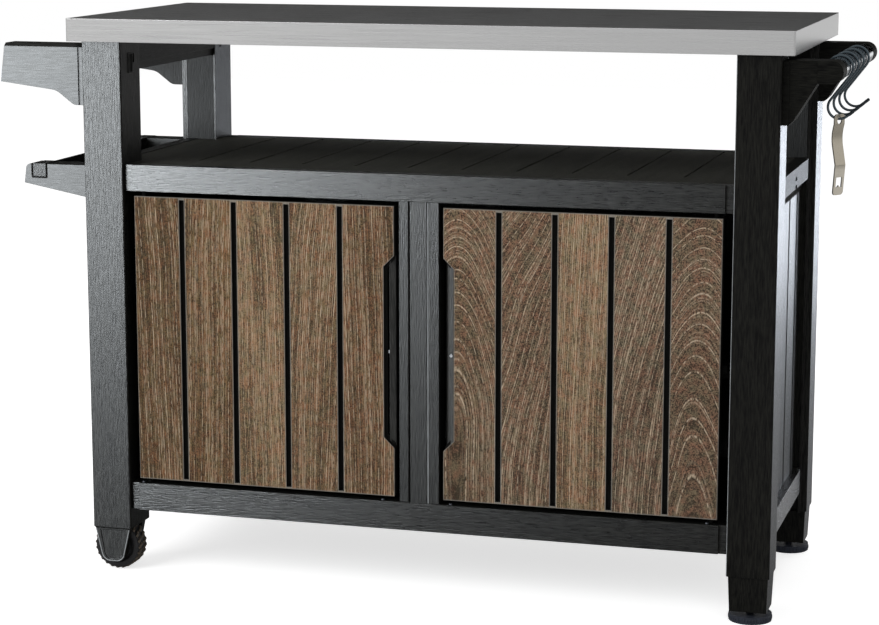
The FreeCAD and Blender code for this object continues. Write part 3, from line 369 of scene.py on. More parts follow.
# Below the bend the strip is painted paler and above it darker: painted light and shade of the
# bend.
strip_tree = strip_steel.node_tree
bend_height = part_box("bottle_opener")[1].z - BEND_DROP
strip_place = add(strip_tree, "ShaderNodeTexCoord").outputs["Object"]
strip_axis = add(strip_tree, "ShaderNodeSeparateXYZ", {0: strip_place})
below = add(strip_tree, "ShaderNodeMapRange", {"Value": strip_axis.outputs["Z"],
                                               "From Min": bend_height + BEND_HALF,
                                               "From Max": bend_height - BEND_HALF})
painted_paler = add(strip_tree, "ShaderNodeMix", {"Factor": below, "A": linear(SHADED_ABOVE_BEND),
                                           "B": linear(LIT_BELOW_BEND)}, data_type="RGBA")
feed(strip_tree, strip_tree.nodes["Principled BSDF"], {"Base Color": painted_paler.outputs["Result"]})
print("Opener rubbed below", round(bend_height, 3))

# %% [markdown]
# ## The oak-look door slats
# Each slat is moulded resin, printed and embossed like limed oak: brown ground, dark fibre
# and pale lime in the pores. Each door carries one material, which first has to know which of
# its five slats a point is on. The slots come at an even pitch, worked out from the door's
# width, and a constant colour ramp holds one row of settings for each slat.

# %% Which slat a point is on
SLATS = 5
OUTER_SLAT, INNER_SLAT, SLOT = 0.0765, 0.0842, 0.0085
door_low, door_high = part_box("left_door_front")
PITCH = (door_high.x - door_low.x - OUTER_SLAT - INNER_SLAT - SLOT) / (SLATS - 2)


def slat_rows(tree, factor, rows):
    """The row of settings that belongs to the slat, out of one row for each."""
    node = add(tree, "ShaderNodeValToRGB", {0: factor})
    node.color_ramp.interpolation = "CONSTANT"
    stops = node.color_ramp.elements
    while len(stops) < len(rows):
        stops.new(0.5)
    for k, row in enumerate(rows):
        stops[k].position = k / len(rows)
        stops[k].color = tuple(row)
    return node


def slat_number(tree, axis, edge):
    """The slat a point is on, its ramp factor, metres across it and the count of pitches."""
    count = add(tree, "ShaderNodeMath", {0: axis.outputs["X"], 1: -edge}, operation="ADD")
    count = add(tree, "ShaderNodeMath", {0: count, 1: PITCH}, operation="DIVIDE")
    slat = add(tree, "ShaderNodeMath", {0: count}, operation="FLOOR")
    slat = add(tree, "ShaderNodeMath", {0: slat, 1: 0.0}, operation="MAXIMUM")
    slat = add(tree, "ShaderNodeMath", {0: slat, 1: SLATS - 1}, operation="MINIMUM")
    factor = add(tree, "ShaderNodeMath", {0: slat, 1: 1 / SLATS, 2: 0.5 / SLATS},
                 operation="MULTIPLY_ADD")
    part = add(tree, "ShaderNodeMath", {0: count, 1: slat}, operation="SUBTRACT")
    across = add(tree, "ShaderNodeMath", {0: part, 1: PITCH}, operation="MULTIPLY")
    return slat, factor, across, count


print("Slat pitch", round(PITCH * 1000, 1), "mm")

# %% [markdown]
# ## Year rings
# A flat-sawn board cuts the tree's nested cones, so the lines on it follow the root of
# (distance from the core squared plus its depth squared), plus a little of the height. Far
# from the core that draws straight grain, and close to it arches. A slat's core row gives
# where the core is, how deep it lies, its taper and the height at which the arches begin.

# %% The ring field
BOARD_TOP = 0.62
ARCH_RISE = 0.3
CORE_RANGE, DEPTH_RANGE = 0.2, 0.1


def core_row(across_mm, depth_mm, taper, bend_from=0.02):
    """A slat's core as parts of one, so that a colour ramp can hold it."""
    return (across_mm / 2000 / CORE_RANGE + 0.5, depth_mm / 1000 / DEPTH_RANGE,
            taper / 2 + 0.5, bend_from)


def ring_field(tree, place, axis, across, core):
    """Millimetres counted across the year rings from a slat's core row, and how arched."""
    parts = add(tree, "ShaderNodeSeparateColor", {0: core.outputs["Color"]})
    core_at = add(tree, "ShaderNodeMapRange", {"Value": parts.outputs[0],
                                               "To Min": -CORE_RANGE, "To Max": CORE_RANGE})
    taper = add(tree, "ShaderNodeMath", {0: parts.outputs[2], 1: 2.0, 2: -1.0},
                operation="MULTIPLY_ADD")
    depth = add(tree, "ShaderNodeMath", {0: parts.outputs[1], 1: DEPTH_RANGE},
                operation="MULTIPLY")
    lift = add(tree, "ShaderNodeMapRange", {"Value": axis.outputs["Z"],
                                            "From Min": core.outputs["Alpha"],
                                            "From Max": BOARD_TOP})
    bend = add(tree, "ShaderNodeMath", {0: lift, 1: 2.0}, operation="POWER")
    bend = add(tree, "ShaderNodeMath", {0: bend, 1: ARCH_RISE}, operation="MULTIPLY")
    aside = add(tree, "ShaderNodeMath", {0: across, 1: core_at}, operation="SUBTRACT")
    reach = add(tree, "ShaderNodeCombineXYZ", {0: aside, 1: depth})
    reach = add(tree, "ShaderNodeVectorMath", {0: reach}, operation="LENGTH")
    rise = add(tree, "ShaderNodeMath", {0: bend, 1: taper, 2: reach.outputs["Value"]},
               operation="MULTIPLY_ADD")
    arched = add(tree, "ShaderNodeMath", {0: taper, 1: lift}, operation="MULTIPLY")
    arched = add(tree, "ShaderNodeMath", {0: arched}, operation="ABSOLUTE")
    stretched = add(tree, "ShaderNodeMapping", {"Vector": place, "Scale": (1, 1, 0.4)})
    wander = add(tree, "ShaderNodeTexNoise", {"Vector": stretched, "Scale": 12.0,
                                              "Detail": 1.0})
    wander = add(tree, "ShaderNodeMath", {0: wander, 1: -0.5}, operation="ADD")
    sway = add(tree, "ShaderNodeMath", {0: arched, 1: 0.05, 2: 0.01},
               operation="MULTIPLY_ADD")
    ring = add(tree, "ShaderNodeMath", {0: wander, 1: sway, 2: rise},
               operation="MULTIPLY_ADD")
    ring = add(tree, "ShaderNodeMath", {0: ring, 1: 1000.0}, operation="MULTIPLY")
    return ring, arched


print("A core 20 mm aside and 30 mm deep:", core_row(20, 30, 0.1))

# %% [markdown]
# ## Lime in the pores
# Limed oak has pale paste left in its open pores, which lie in rows along the year rings. A
# row is drawn once in each spacing, at a chance place, and noise stretched along the grain
# breaks it into dashes.

# %% Rows of limed pores
def lime_lines(tree, ring, place, slat, spacing_mm, width_mm, dash_mm):
    """Thin pale lines along the year rings, broken into dashes and uneven in strength."""
    year = add(tree, "ShaderNodeMath", {0: ring, 1: spacing_mm}, operation="DIVIDE")
    index = add(tree, "ShaderNodeMath", {0: year}, operation="FLOOR")
    part = add(tree, "ShaderNodeMath", {0: year}, operation="FRACT")
    seed = add(tree, "ShaderNodeCombineXYZ", {0: index, 1: slat})
    chance = add(tree, "ShaderNodeTexWhiteNoise", {"Vector": seed})
    spot = add(tree, "ShaderNodeMapRange", {"Value": chance, "To Min": 0.25, "To Max": 0.75})
    off = add(tree, "ShaderNodeMath", {0: part, 1: spot}, operation="SUBTRACT")
    off = add(tree, "ShaderNodeMath", {0: off}, operation="ABSOLUTE")
    line = add(tree, "ShaderNodeMapRange", {"Value": off, "From Min": 0.0,
                                            "From Max": width_mm / spacing_mm, "To Min": 1.0,
                                            "To Max": 0.0})
    run = add(tree, "ShaderNodeMapping", {"Vector": place,
                                          "Scale": (300, 300, 1000 / dash_mm)})
    dash = add(tree, "ShaderNodeTexNoise", {"Vector": run, "Scale": 1.0, "Detail": 1.5,
                                            "Roughness": 0.7})
    dash = add(tree, "ShaderNodeMapRange", {"Value": dash, "From Min": 0.4,
                                            "From Max": 0.56})
    return add(tree, "ShaderNodeMath", {0: line, 1: dash}, operation="MULTIPLY")


print("Rows of pores every 9 mm, with fine ones every 2.9 mm")

# %% [markdown]
# ## Worn and shining edges
# The print is thin where a slat's edge was rounded, which leaves a grey rim about 2 mm wide
# along each slot, round the door and round its finger grip. The grey is also a painted
# highlight: the sheen of the rounded edge. The rim needs the distance from a point to the
# nearest of those edges.

# %% Distance to the nearest edge
GRIP_DEEP, GRIP_HALF = 0.017, 0.1525


def edge_distance(tree, axis, count, door):
    """Metres from a point on a slat to the nearest slot, door edge or finger grip."""
    low, high, inner = door
    held = add(tree, "ShaderNodeMapRange", {"Value": count, "From Min": 0.5,
                                            "From Max": SLATS - 0.5, "To Min": 0.5,
                                            "To Max": SLATS - 0.5})
    held = add(tree, "ShaderNodeMath", {0: held}, operation="FRACT")
    held = add(tree, "ShaderNodeMath", {0: held, 1: PITCH}, operation="MULTIPLY")
    spans = [(held, PITCH / 2, (PITCH - SLOT) / 2),
             (axis.outputs["X"], (low.x + high.x) / 2, (high.x - low.x) / 2),
             (axis.outputs["Z"], (low.z + high.z) / 2, (high.z - low.z) / 2)]
    nearest = 1.0
    for value, middle, half in spans:
        off = add(tree, "ShaderNodeMath", {0: value, 1: middle}, operation="SUBTRACT")
        off = add(tree, "ShaderNodeMath", {0: off}, operation="ABSOLUTE")
        far = add(tree, "ShaderNodeMath", {0: half, 1: off}, operation="SUBTRACT")
        nearest = add(tree, "ShaderNodeMath", {0: far, 1: nearest}, operation="MINIMUM")
    depth = add(tree, "ShaderNodeMath", {0: GRIP_HALF, 1: off}, operation="SUBTRACT")
    depth = add(tree, "ShaderNodeMapRange", {"Value": depth, "From Max": GRIP_DEEP,
                                             "To Max": GRIP_DEEP})
    grip = add(tree, "ShaderNodeMath", {0: axis.outputs["X"], 1: inner}, operation="SUBTRACT")
    grip = add(tree, "ShaderNodeMath", {0: grip}, operation="ABSOLUTE")
    grip = add(tree, "ShaderNodeMath", {0: grip, 1: depth}, operation="SUBTRACT")
    return add(tree, "ShaderNodeMath", {0: grip, 1: nearest}, operation="MINIMUM")


print("Grip", GRIP_DEEP, "m deep and", GRIP_HALF * 2, "m tall")

# %% [markdown]
# ## The print
# The ground mixes three noises: fine fibre and broad bands that follow the rings, and specks
# of print. Arched figure shows more specks and less fibre. Lime goes over the ground, and the
# grey rim of wear and painted edge highlight over both. The walls of the slots were never
# printed, so they stay dark.

# %% Mix the print
LIME, EDGE_WEAR_AND_SHEEN, SLOT_WALL = "#b9a790", "#77756f", "#100f0e"
FIBRE_MM = 30.0


def wood_ground(tree, place, ring, along, arched, slat, factor, tones):
    """The brown ground of five slats, with its fibre and its bands."""
    fibre = add(tree, "ShaderNodeCombineXYZ", {0: ring, 1: along, 2: slat})
    streak = add(tree, "ShaderNodeTexNoise", {"Vector": fibre, "Scale": 0.8, "Detail": 2.0,
                                              "Roughness": 0.7})
    band = add(tree, "ShaderNodeTexNoise", {"Vector": fibre, "Scale": 0.08, "Detail": 1.0})
    speck = add(tree, "ShaderNodeTexNoise", {"Vector": place, "Scale": 560.0, "Detail": 1.0})
    blend = 0.0
    for noise, straight_share, arch_gain in ((streak, 0.48, -0.6), (band, 0.22, -0.4),
                                             (speck, 0.3, 1.1)):
        share = add(tree, "ShaderNodeMath", {0: arched, 1: arch_gain, 2: straight_share},
                    operation="MULTIPLY_ADD")
        blend = add(tree, "ShaderNodeMath", {0: noise, 1: share, 2: blend},
                    operation="MULTIPLY_ADD")
    tone = add(tree, "ShaderNodeMapRange", {"Value": blend, "From Min": 0.43,
                                            "From Max": 0.58})
    dark, pale = [slat_rows(tree, factor, [[c * share for c in linear(tone_hex)[:3]] + [1.0]
                                           for tone_hex in tones]) for share in (0.24, 1.22)]
    wood = add(tree, "ShaderNodeMix", {"Factor": tone, "A": dark, "B": pale},
               data_type="RGBA")
    patch = add(tree, "ShaderNodeTexNoise", {"Vector": place, "Scale": 75.0, "Detail": 2.0})
    patch = add(tree, "ShaderNodeMapRange", {"Value": patch, "From Min": 0.35,
                                             "From Max": 0.65})
    tint = add(tree, "ShaderNodeMix", {"Factor": patch, "A": (1.16, 0.95, 0.88, 1),
                                       "B": (0.92, 1.04, 0.95, 1)}, data_type="RGBA")
    wood = add(tree, "ShaderNodeMix", {"Factor": 1.0, "A": wood.outputs["Result"],
                                       "B": tint.outputs["Result"]}, data_type="RGBA",
               blend_type="MULTIPLY")
    return wood, streak, band


def oak_print(name, edge, door, cores, tones):
    """Limed oak print on five slats, with a core row and a ground tone for each."""
    material, tree, shader = new_material(name)
    place = add(tree, "ShaderNodeTexCoord").outputs["Object"]
    axis = add(tree, "ShaderNodeSeparateXYZ", {0: place})
    slat, factor, across, count = slat_number(tree, axis, edge)
    ring, arched = ring_field(tree, place, axis, across, slat_rows(tree, factor, cores))
    along = add(tree, "ShaderNodeMath", {0: axis.outputs["Z"], 1: 1000 / FIBRE_MM},
                operation="MULTIPLY")
    wood, streak, band = wood_ground(tree, place, ring, along, arched, slat, factor, tones)
    year = lime_lines(tree, ring, place, slat, spacing_mm=9.0, width_mm=0.68, dash_mm=10)
    fine = lime_lines(tree, ring, place, slat, spacing_mm=2.9, width_mm=0.6, dash_mm=26)
    gather = add(tree, "ShaderNodeMapRange", {"Value": band, "From Min": 0.42,
                                              "From Max": 0.6, "To Min": 0.2})
    fine_share = add(tree, "ShaderNodeMath", {0: arched, 1: -1.2, 2: gather},
                     operation="MULTIPLY_ADD", use_clamp=True)
    lime = add(tree, "ShaderNodeMath", {0: fine, 1: fine_share, 2: year},
               operation="MULTIPLY_ADD", use_clamp=True)
    limed = add(tree, "ShaderNodeMath", {0: lime, 1: 0.95}, operation="MULTIPLY")
    inside = edge_distance(tree, axis, count, door)
    # Grey rim along the edges: thinned print and a painted highlight of the rounded edge.
    edge_wear_and_sheen = add(tree, "ShaderNodeMapRange", {"Value": inside, "From Min": 0.0005,
                                            "From Max": 0.0021, "To Min": 0.8, "To Max": 0.0})
    facing = add(tree, "ShaderNodeTexCoord").outputs["Normal"]
    facing = add(tree, "ShaderNodeSeparateXYZ", {0: facing})
    wall = add(tree, "ShaderNodeMath", {0: facing.outputs["Y"], 1: -0.5},
               operation="GREATER_THAN")
    colour = wood
    for share, over in ((limed, LIME), (edge_wear_and_sheen, EDGE_WEAR_AND_SHEEN), (wall, SLOT_WALL)):
        colour = add(tree, "ShaderNodeMix", {"Factor": share, "A": colour.outputs["Result"],
                                             "B": linear(over)}, data_type="RGBA")
    height = add(tree, "ShaderNodeMath", {0: lime, 1: 0.5, 2: streak},
                 operation="MULTIPLY_ADD")
    feed(tree, shader, {"Base Color": colour.outputs["Result"], "Roughness": 0.62,
                        "Normal": raised(tree, height, 0.5, 0.3, 1.2),
                        "Specular IOR Level": 0.15})
    return material


print("Print ready for", SLATS, "slats")

# %% [markdown]
# ## The figure of the ten slats
# The left door is nearly all straight grain, with its cores far aside. The right door shows
# arches: tight ones on its first and last slats, and wide ones between.

# %% Cores and tones
FIGURES = {
    "left": ([core_row(-160, 20, 0.06), core_row(190, 20, 0.04), core_row(-150, 10, 0.03),
              core_row(170, 30, 0.09), core_row(-140, 10, 0.05)],
             ["#624c35", "#69523a", "#7b654d", "#6e5842", "#6a523c"]),
    "right": ([core_row(18, 26, 0.42, 0.26), core_row(-25, 50, -0.34, 0.14),
               core_row(180, 20, 0.05), core_row(120, 48, 0.26, 0.1),
               core_row(46, 40, 0.52)],
              ["#6a5746", "#6b5848", "#7c6650", "#6b5a4b", "#685647"]),
}
oak = {}
for side, (cores, tones) in FIGURES.items():
    low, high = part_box(f"{side}_door_front")
    first, inner = (OUTER_SLAT, high.x) if side == "left" else (INNER_SLAT, low.x)
    edge = low.x + first + SLOT / 2 - PITCH
    oak[side] = oak_print(f"limed_oak_print_{side}", edge, (low, high, inner), cores, tones)
print("Slat finishes:", [material.name for material in oak.values()])

# %% [markdown]
# ## Dressing the solids
# Each solid gets the finish of the real piece. Legs and posts have upright streaks, and rails
# have streaks along their length.

# %% Give every solid its finish
ENDS, SIDES = ("front", "rear"), ("left", "right")


def dress(material, *names):
    """Give a finish to the named solids."""
    for name in names:
        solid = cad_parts[name]
        solid.data.materials.clear()
        solid.data.materials.append(material)


dress(worktop_steel, "worktop")
dress(black["x"], "worktop_core", "cabinet_floor", "inner_shelf_left", "inner_shelf_right")
dress(black["y"], "rack_tray")
dress(black["z"], "left_door_back", "right_door_back", "door_catches", "shelf_ledges",
      "front_wheel", "rear_wheel")
dress(shade_lifted_deck_resin, "shelf_deck")
dress(graphite["y"], "shelf_rail_left", "bottom_rail_left", "top_rail_left", "top_rail_right",
      "rack_rail", "roll_bar")
dress(graphite["z"], "leg_front_left", "leg_front_right", "leg_rear_left", "centre_post",
      "side_panel_left", "side_panel_right")
dress(lit_copy_back_graphite["x"], "shelf_rail_rear", "bottom_rail_rear")
dress(lit_copy_back_graphite["z"], "leg_rear_right", "back_post", "back_panel_left",
      "back_panel_right")
dress(rail_graphite, "shelf_rail_front", "bottom_rail_front")
dress(upper_side_rail, "shelf_rail_right")
dress(lower_side_rail, "bottom_rail_right")
dress(smooth_graphite, "roll_bracket_front", "rack_bracket_front", "rack_bracket_rear")
dress(coarse_graphite, "roll_bracket_rear", "leg_covers")
dress(tube_steel, "tool_bar")
dress(strip_steel, "bottle_opener")
dress(screw_steel, "wheel_axles")
for end in ENDS:
    dress(graphite["z"], f"wheel_fork_{end}", f"foot_socket_{end}")
    dress(foot_resin, f"{end}_foot")
    dress(matte_graphite, f"tool_bracket_{end}")
for side in SIDES:
    dress(oak[side], f"{side}_door_front")
dress(hook_steel, *[f"hook_{number}" for number in range(1, 5)])
print("Solids without a finish:",
      [name for name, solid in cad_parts.items() if not solid.data.materials])

# %% [markdown]
# ## Who stands in the sheen
# Graphite pieces on the right side take the right lamp and all others the left one. The left
# side panel and the rails above and below it face away from the camera, where the sheen would
# only glare, so they take none. The rear left leg stands in both.

# %% Sort the pieces between the sheen lamps
RIGHT_SIDE = 0.4
unlit = ("side_panel_left", "shelf_rail_left", "bottom_rail_left")
for name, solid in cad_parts.items():
    finish = solid.data.materials[0]
    if finish.name.startswith("graphite") and name not in unlit:
        at_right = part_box(name)[0].x > RIGHT_SIDE
        (right_resin if at_right else left_resin).objects.link(solid)
right_resin.objects.link(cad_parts["leg_rear_left"])

# %% [markdown]
# ## Growing pieces with Geometry Nodes
# Knobs on a tyre, ribs round a foot and screw heads all repeat, and a hook is a wire that
# follows a path. Each is a Geometry Nodes tree with named sizes. A tree is run once, and its
# result is kept as a plain mesh that rides on its own body.

# %% A helper that runs a tree and keeps its mesh
def new_tree(name, **inputs):
    """A Geometry Nodes tree with named inputs. Returns the tree, its inputs and its output."""
    tree = bpy.data.node_groups.new(name, "GeometryNodeTree")
    tree.interface.new_socket("Geometry", in_out="INPUT", socket_type="NodeSocketGeometry")
    for title, kind in inputs.items():
        tree.interface.new_socket(title.replace("_", " "), in_out="INPUT",
                                  socket_type=f"NodeSocket{kind}")
    tree.interface.new_socket("Geometry", in_out="OUTPUT", socket_type="NodeSocketGeometry")
    return tree, add(tree, "NodeGroupInput").outputs, add(tree, "NodeGroupOutput")


def finish_tree(tree, given, end, geometry):
    """Close a tree: real geometry, its material, then the output."""
    solid = add(tree, "GeometryNodeRealizeInstances", {"Geometry": geometry})
    painted = add(tree, "GeometryNodeSetMaterial", {"Geometry": solid,
                                                    "Material": given["Material"]})
    feed(tree, end, {0: painted})
    return tree


def place_piece(name, mesh, body):
    """Put a finished mesh in the scene as a piece that rides on a body."""
    mesh.name = name
    piece = put(name, mesh)
    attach(piece, body)
    return piece


def plain_mesh(maker):
    """The mesh that an object's modifiers make of it. The object itself goes."""
    evaluated = maker.evaluated_get(bpy.context.evaluated_depsgraph_get())
    mesh = bpy.data.meshes.new_from_object(evaluated)
    bpy.data.objects.remove(maker)
    return mesh


def grow(name, tree, body, values, points=()):
    """Run a tree once on some points and keep the result as a plain mesh."""
    seed = bpy.data.meshes.new(name + "_seed")
    seed.from_pydata([tuple(p) for p in points],
                     [(k, k + 1) for k in range(len(points) - 1)], [])
    maker = put(name + "_maker", seed)
    modifier = maker.modifiers.new("tree", "NODES")
    modifier.node_group = tree
    for item in tree.interface.items_tree:
        if item.in_out == "INPUT" and item.name in values:
            modifier[item.identifier] = values[item.name]
    return place_piece(name, plain_mesh(maker), body)


def middle_of(node):
    """The middle of a node's box at rest."""
    low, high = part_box(node)
    return (low + high) / 2


def triangles(piece):
    """How many triangles a piece's mesh holds."""
    return sum(len(face.vertices) - 2 for face in piece.data.polygons)


print("Ready to grow pieces")

# %% [markdown]
# ## The hooks
# Each hook is dark steel wire 4 mm thick: it wraps over the tube, runs straight across below
# it and turns up round a bowl to a straight tip. The wire is a round section swept along that
# path, which keeps its bends smooth, and it stands in for the solid's flat-sided wire.

# %% Sweep the hooks
HOOK_WIRE, HOOK_GAP = 0.002, 0.0003
HOOK_BOWL, HOOK_DROP, HOOK_REACH = 0.0175, 0.059, 0.0212
HOOK_RISE, HOOK_TAIL, HOOK_STEPS = math.radians(39), math.radians(215), 24
tip_heading = Vector((math.cos(HOOK_RISE), 0, math.sin(HOOK_RISE)))


def wire_tree():
    """Sweep a round section along the seed's points and close its ends."""
    tree, given, end = new_tree("wire_along_a_path", Wire_Radius="Float", Sides="Int",
                                Material="Material")
    path = add(tree, "GeometryNodeMeshToCurve", {"Mesh": given["Geometry"]})
    section = add(tree, "GeometryNodeCurvePrimitiveCircle",
                  {"Resolution": given["Sides"], "Radius": given["Wire Radius"]})
    swept = add(tree, "GeometryNodeCurveToMesh", {"Curve": path, "Profile Curve": section,
                                                  "Fill Caps": True})
    smooth = add(tree, "GeometryNodeSetShadeSmooth", {"Geometry": swept})
    return finish_tree(tree, given, end, smooth)


def hook_path(centre, wrap):
    """Points on one hook's centre line: over the tube, straight across, round the bowl."""
    leave = math.acos((wrap + HOOK_BOWL) / HOOK_DROP) - math.pi / 2
    bends = ((0, wrap, leave + HOOK_TAIL, leave),
             (-HOOK_DROP, HOOK_BOWL, leave + math.pi, HOOK_RISE + 1.5 * math.pi))
    points = []
    for height, radius, first, last in bends:
        for k in range(HOOK_STEPS + 1):
            angle = first + (last - first) * k / HOOK_STEPS
            points.append(centre + Vector((radius * math.cos(angle), 0,
                                           height + radius * math.sin(angle))))
    left_over = centre.x + HOOK_REACH - points[-1].x
    points.append(points[-1] + tip_heading * left_over / tip_heading.x)
    return points


wire = wire_tree()
tube_low, tube_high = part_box("tool_bar")
tube_middle, tube_radius = middle_of("tool_bar"), (tube_high.z - tube_low.z) / 2
hook_tips = {}
for number in range(1, 5):
    centre = Vector((tube_middle.x, middle_of(f"hook_{number}").y, tube_middle.z))
    path = hook_path(centre, tube_radius + HOOK_WIRE + HOOK_GAP)
    hook_tips[number] = path[-1]
    hook = grow(f"round_wire_hook_{number}", wire, f"hook_{number}",
                {"Wire Radius": HOOK_WIRE, "Sides": 12, "Material": hook_steel}, path)
    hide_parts(f"hook_{number}")
print("Hook triangles:", triangles(hook))

# %% [markdown]
# ## The wheels
# A wheel is moulded in one piece of black resin: a rounded tyre, dished sides and a hub. Its
# body is turned like wood on a lathe from half an outline in millimetres, with a bore that
# clears the axle. The next step turns it and adds its knobs.

# %% A lathe and the outline of a wheel
HALF_TYRE = [(7.0, 10.0), (8.0, 9.2), (8.6, 6.2), (24.0, 6.2), (26.0, 9.0),
             (27.0, 15.5), (29.5, 18.0), (34.0, 18.4), (36.6, 17.0), (37.6, 14.0)]
HUB_HALF, BORE_GAP = 0.010, 0.0001


def turned(name, outline, centre, body, material, steps=72):
    """Turn a closed outline of (radius, along) about the Y axis through a centre."""
    shape = bmesh.new()
    rings = []
    for radius, along in outline:
        ring = []
        for k in range(steps):
            angle = 2 * math.pi * k / steps
            spot = Vector((radius * math.cos(angle), along, radius * math.sin(angle)))
            ring.append(shape.verts.new(spot + centre))
        rings.append(ring)
    for first, second in zip(rings, rings[1:] + rings[:1]):
        for k in range(steps):
            after = (k + 1) % steps
            shape.faces.new([first[k], first[after], second[after], second[k]])
    bmesh.ops.recalc_face_normals(shape, faces=shape.faces)
    mesh = bpy.data.meshes.new(name)
    shape.to_mesh(mesh)
    shape.free()
    mesh.shade_smooth()
    mesh.set_sharp_from_angle(angle=math.radians(35))
    mesh.materials.append(material)
    return place_piece(name, mesh, body)


axle_low, axle_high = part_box("wheel_axles")
bore = (axle_high.z - axle_low.z) / 2 + BORE_GAP
outline = [(bore, HUB_HALF)] + [(r / 1000, a / 1000) for r, a in HALF_TYRE]
outline += [(r, -a) for r, a in reversed(outline)]
print("Bore", round(2000 * bore, 2), "mm across, and", len(outline), "points in the outline")

# %% [markdown]
# ## Tread and foot ribs
# The tyre has two staggered rows of slanted knobs, and each levelling foot has fine ribs so
# that fingers can turn it. One tree sets a small tapered block round an axis, as often as it
# is told, and both are made with it.

# %% A tree that sets blocks in a ring
def ring_tree():
    """A tapered block set round a Y axis, then turned and moved to its place."""
    tree, given, end = new_tree("blocks_in_a_ring", Count="Int", Radius="Float", Block="Vector",
                                Top="Float", Slant="Float", First_Angle="Float",
                                Along="Float", Turn="Vector", Centre="Vector",
                                Material="Material")
    quarter = math.pi / 4
    top = add(tree, "ShaderNodeMath", {0: given["Top"], 1: math.sin(quarter)},
              operation="MULTIPLY")
    slant = add(tree, "ShaderNodeCombineXYZ", {"Z": given["Slant"]})
    out = add(tree, "ShaderNodeCombineXYZ", {"X": given["Radius"], "Y": given["Along"]})
    block = add(tree, "GeometryNodeMeshCone", {"Vertices": 4, "Radius Bottom": math.sin(quarter),
                                               "Radius Top": top, "Depth": 1.0})
    for step in ({"Rotation": (0, 0, quarter)}, {"Scale": given["Block"]}, {"Rotation": slant},
                 {"Rotation": (0, math.pi / 2, 0), "Translation": out}):
        block = add(tree, "GeometryNodeTransform", {"Geometry": block, **step})
    spots = add(tree, "GeometryNodeMeshLine", {"Count": given["Count"], "Offset": (0, 0, 0)})
    index = add(tree, "GeometryNodeInputIndex")
    share = add(tree, "ShaderNodeMath", {0: index, 1: given["Count"]}, operation="DIVIDE")
    angle = add(tree, "ShaderNodeMath", {0: share, 1: 2 * math.pi, 2: given["First Angle"]},
                operation="MULTIPLY_ADD")
    spin = add(tree, "ShaderNodeCombineXYZ", {"Y": angle})
    spin = add(tree, "FunctionNodeEulerToRotation", {"Euler": spin})
    ring = add(tree, "GeometryNodeInstanceOnPoints", {"Points": spots, "Instance": block,
                                                      "Rotation": spin})
    ring = add(tree, "GeometryNodeTransform", {"Geometry": ring, "Rotation": given["Turn"],
                                               "Translation": given["Centre"]})
    return finish_tree(tree, given, end, ring)


ring_of_blocks = ring_tree()
print("Inputs:", [item.name for item in ring_of_blocks.interface.items_tree
                  if item.in_out == "INPUT"])

# %% Make the wheels and rib the feet
KNOBS, ROW_SHIFT, RIB_HEIGHT = 24, 0.0088, 0.0053
knob = {"Count": KNOBS, "Radius": 0.0358, "Block": (0.0046, 0.0148, 0.0038), "Top": 0.75,
        "Slant": 0.5, "Material": tread_resin}
rib = {"Count": 44, "Radius": 0.0324, "Block": (0.0026, 0.0074, 0.0014), "Top": 0.5,
       "Turn": (math.pi / 2, 0, 0), "Material": foot_resin}
for end in ENDS:
    wheel = f"{end}_wheel"
    tyre = turned(f"{wheel}_turned_tyre", outline, middle_of(wheel), wheel,
                  wheel_resin)
    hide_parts(wheel)
    for row, shift in (("outer", -ROW_SHIFT), ("inner", ROW_SHIFT)):
        knobs = grow(f"{wheel}_knobs_{row}", ring_of_blocks, wheel,
                     {**knob, "First Angle": math.pi / KNOBS * (shift > 0), "Along": shift,
                      "Centre": middle_of(wheel)})
for end in ENDS:
    foot = middle_of(f"{end}_foot")
    ribs = grow(f"{end}_foot_ribs", ring_of_blocks, f"{end}_foot",
                {**rib, "Centre": (foot.x, foot.y, RIB_HEIGHT)})
print("Triangles of a tyre, a row of knobs and a foot's ribs:", triangles(tyre),
      triangles(knobs), triangles(ribs))

# %% [markdown]
# ## Screws
# The side rails and the door grips are held by small cross-head screws. A tree cuts the cross
# into one head and sets it on every point of its seed.

# %% Set the screws of the side rails
def screw_tree():
    """A cross-head screw on every point, turned to face its own way."""
    tree, given, end = new_tree("screw_heads", Head_Radius="Float", Head_Height="Float",
                                Turn="Vector", Material="Material")
    crown, long, thin = [add(tree, "ShaderNodeMath", {0: given["Head Radius"], 1: share},
                             operation="MULTIPLY") for share in (0.72, 1.1, 0.3)]
    head = add(tree, "GeometryNodeMeshCone", {"Vertices": 20, "Side Segments": 1,
                                              "Radius Top": crown,
                                              "Radius Bottom": given["Head Radius"],
                                              "Depth": given["Head Height"]})
    up = add(tree, "ShaderNodeCombineXYZ", {"Z": given["Head Height"]})
    for long_way, thin_way in (("X", "Y"), ("Y", "X")):
        size = add(tree, "ShaderNodeCombineXYZ", {long_way: long, thin_way: thin,
                                                  "Z": given["Head Height"]})
        bar = add(tree, "GeometryNodeMeshCube", {"Size": size})
        for step in ({"Translation": up}, {"Scale": (1, 1, 0.75)}):
            bar = add(tree, "GeometryNodeTransform", {"Geometry": bar, **step})
        head = add(tree, "GeometryNodeMeshBoolean", {"Mesh 1": head, "Mesh 2": bar},
                   operation="DIFFERENCE")
    turn = add(tree, "FunctionNodeEulerToRotation", {"Euler": given["Turn"]})
    heads = add(tree, "GeometryNodeInstanceOnPoints", {"Points": given["Geometry"],
                                                       "Instance": head, "Rotation": turn})
    return finish_tree(tree, given, end, heads)


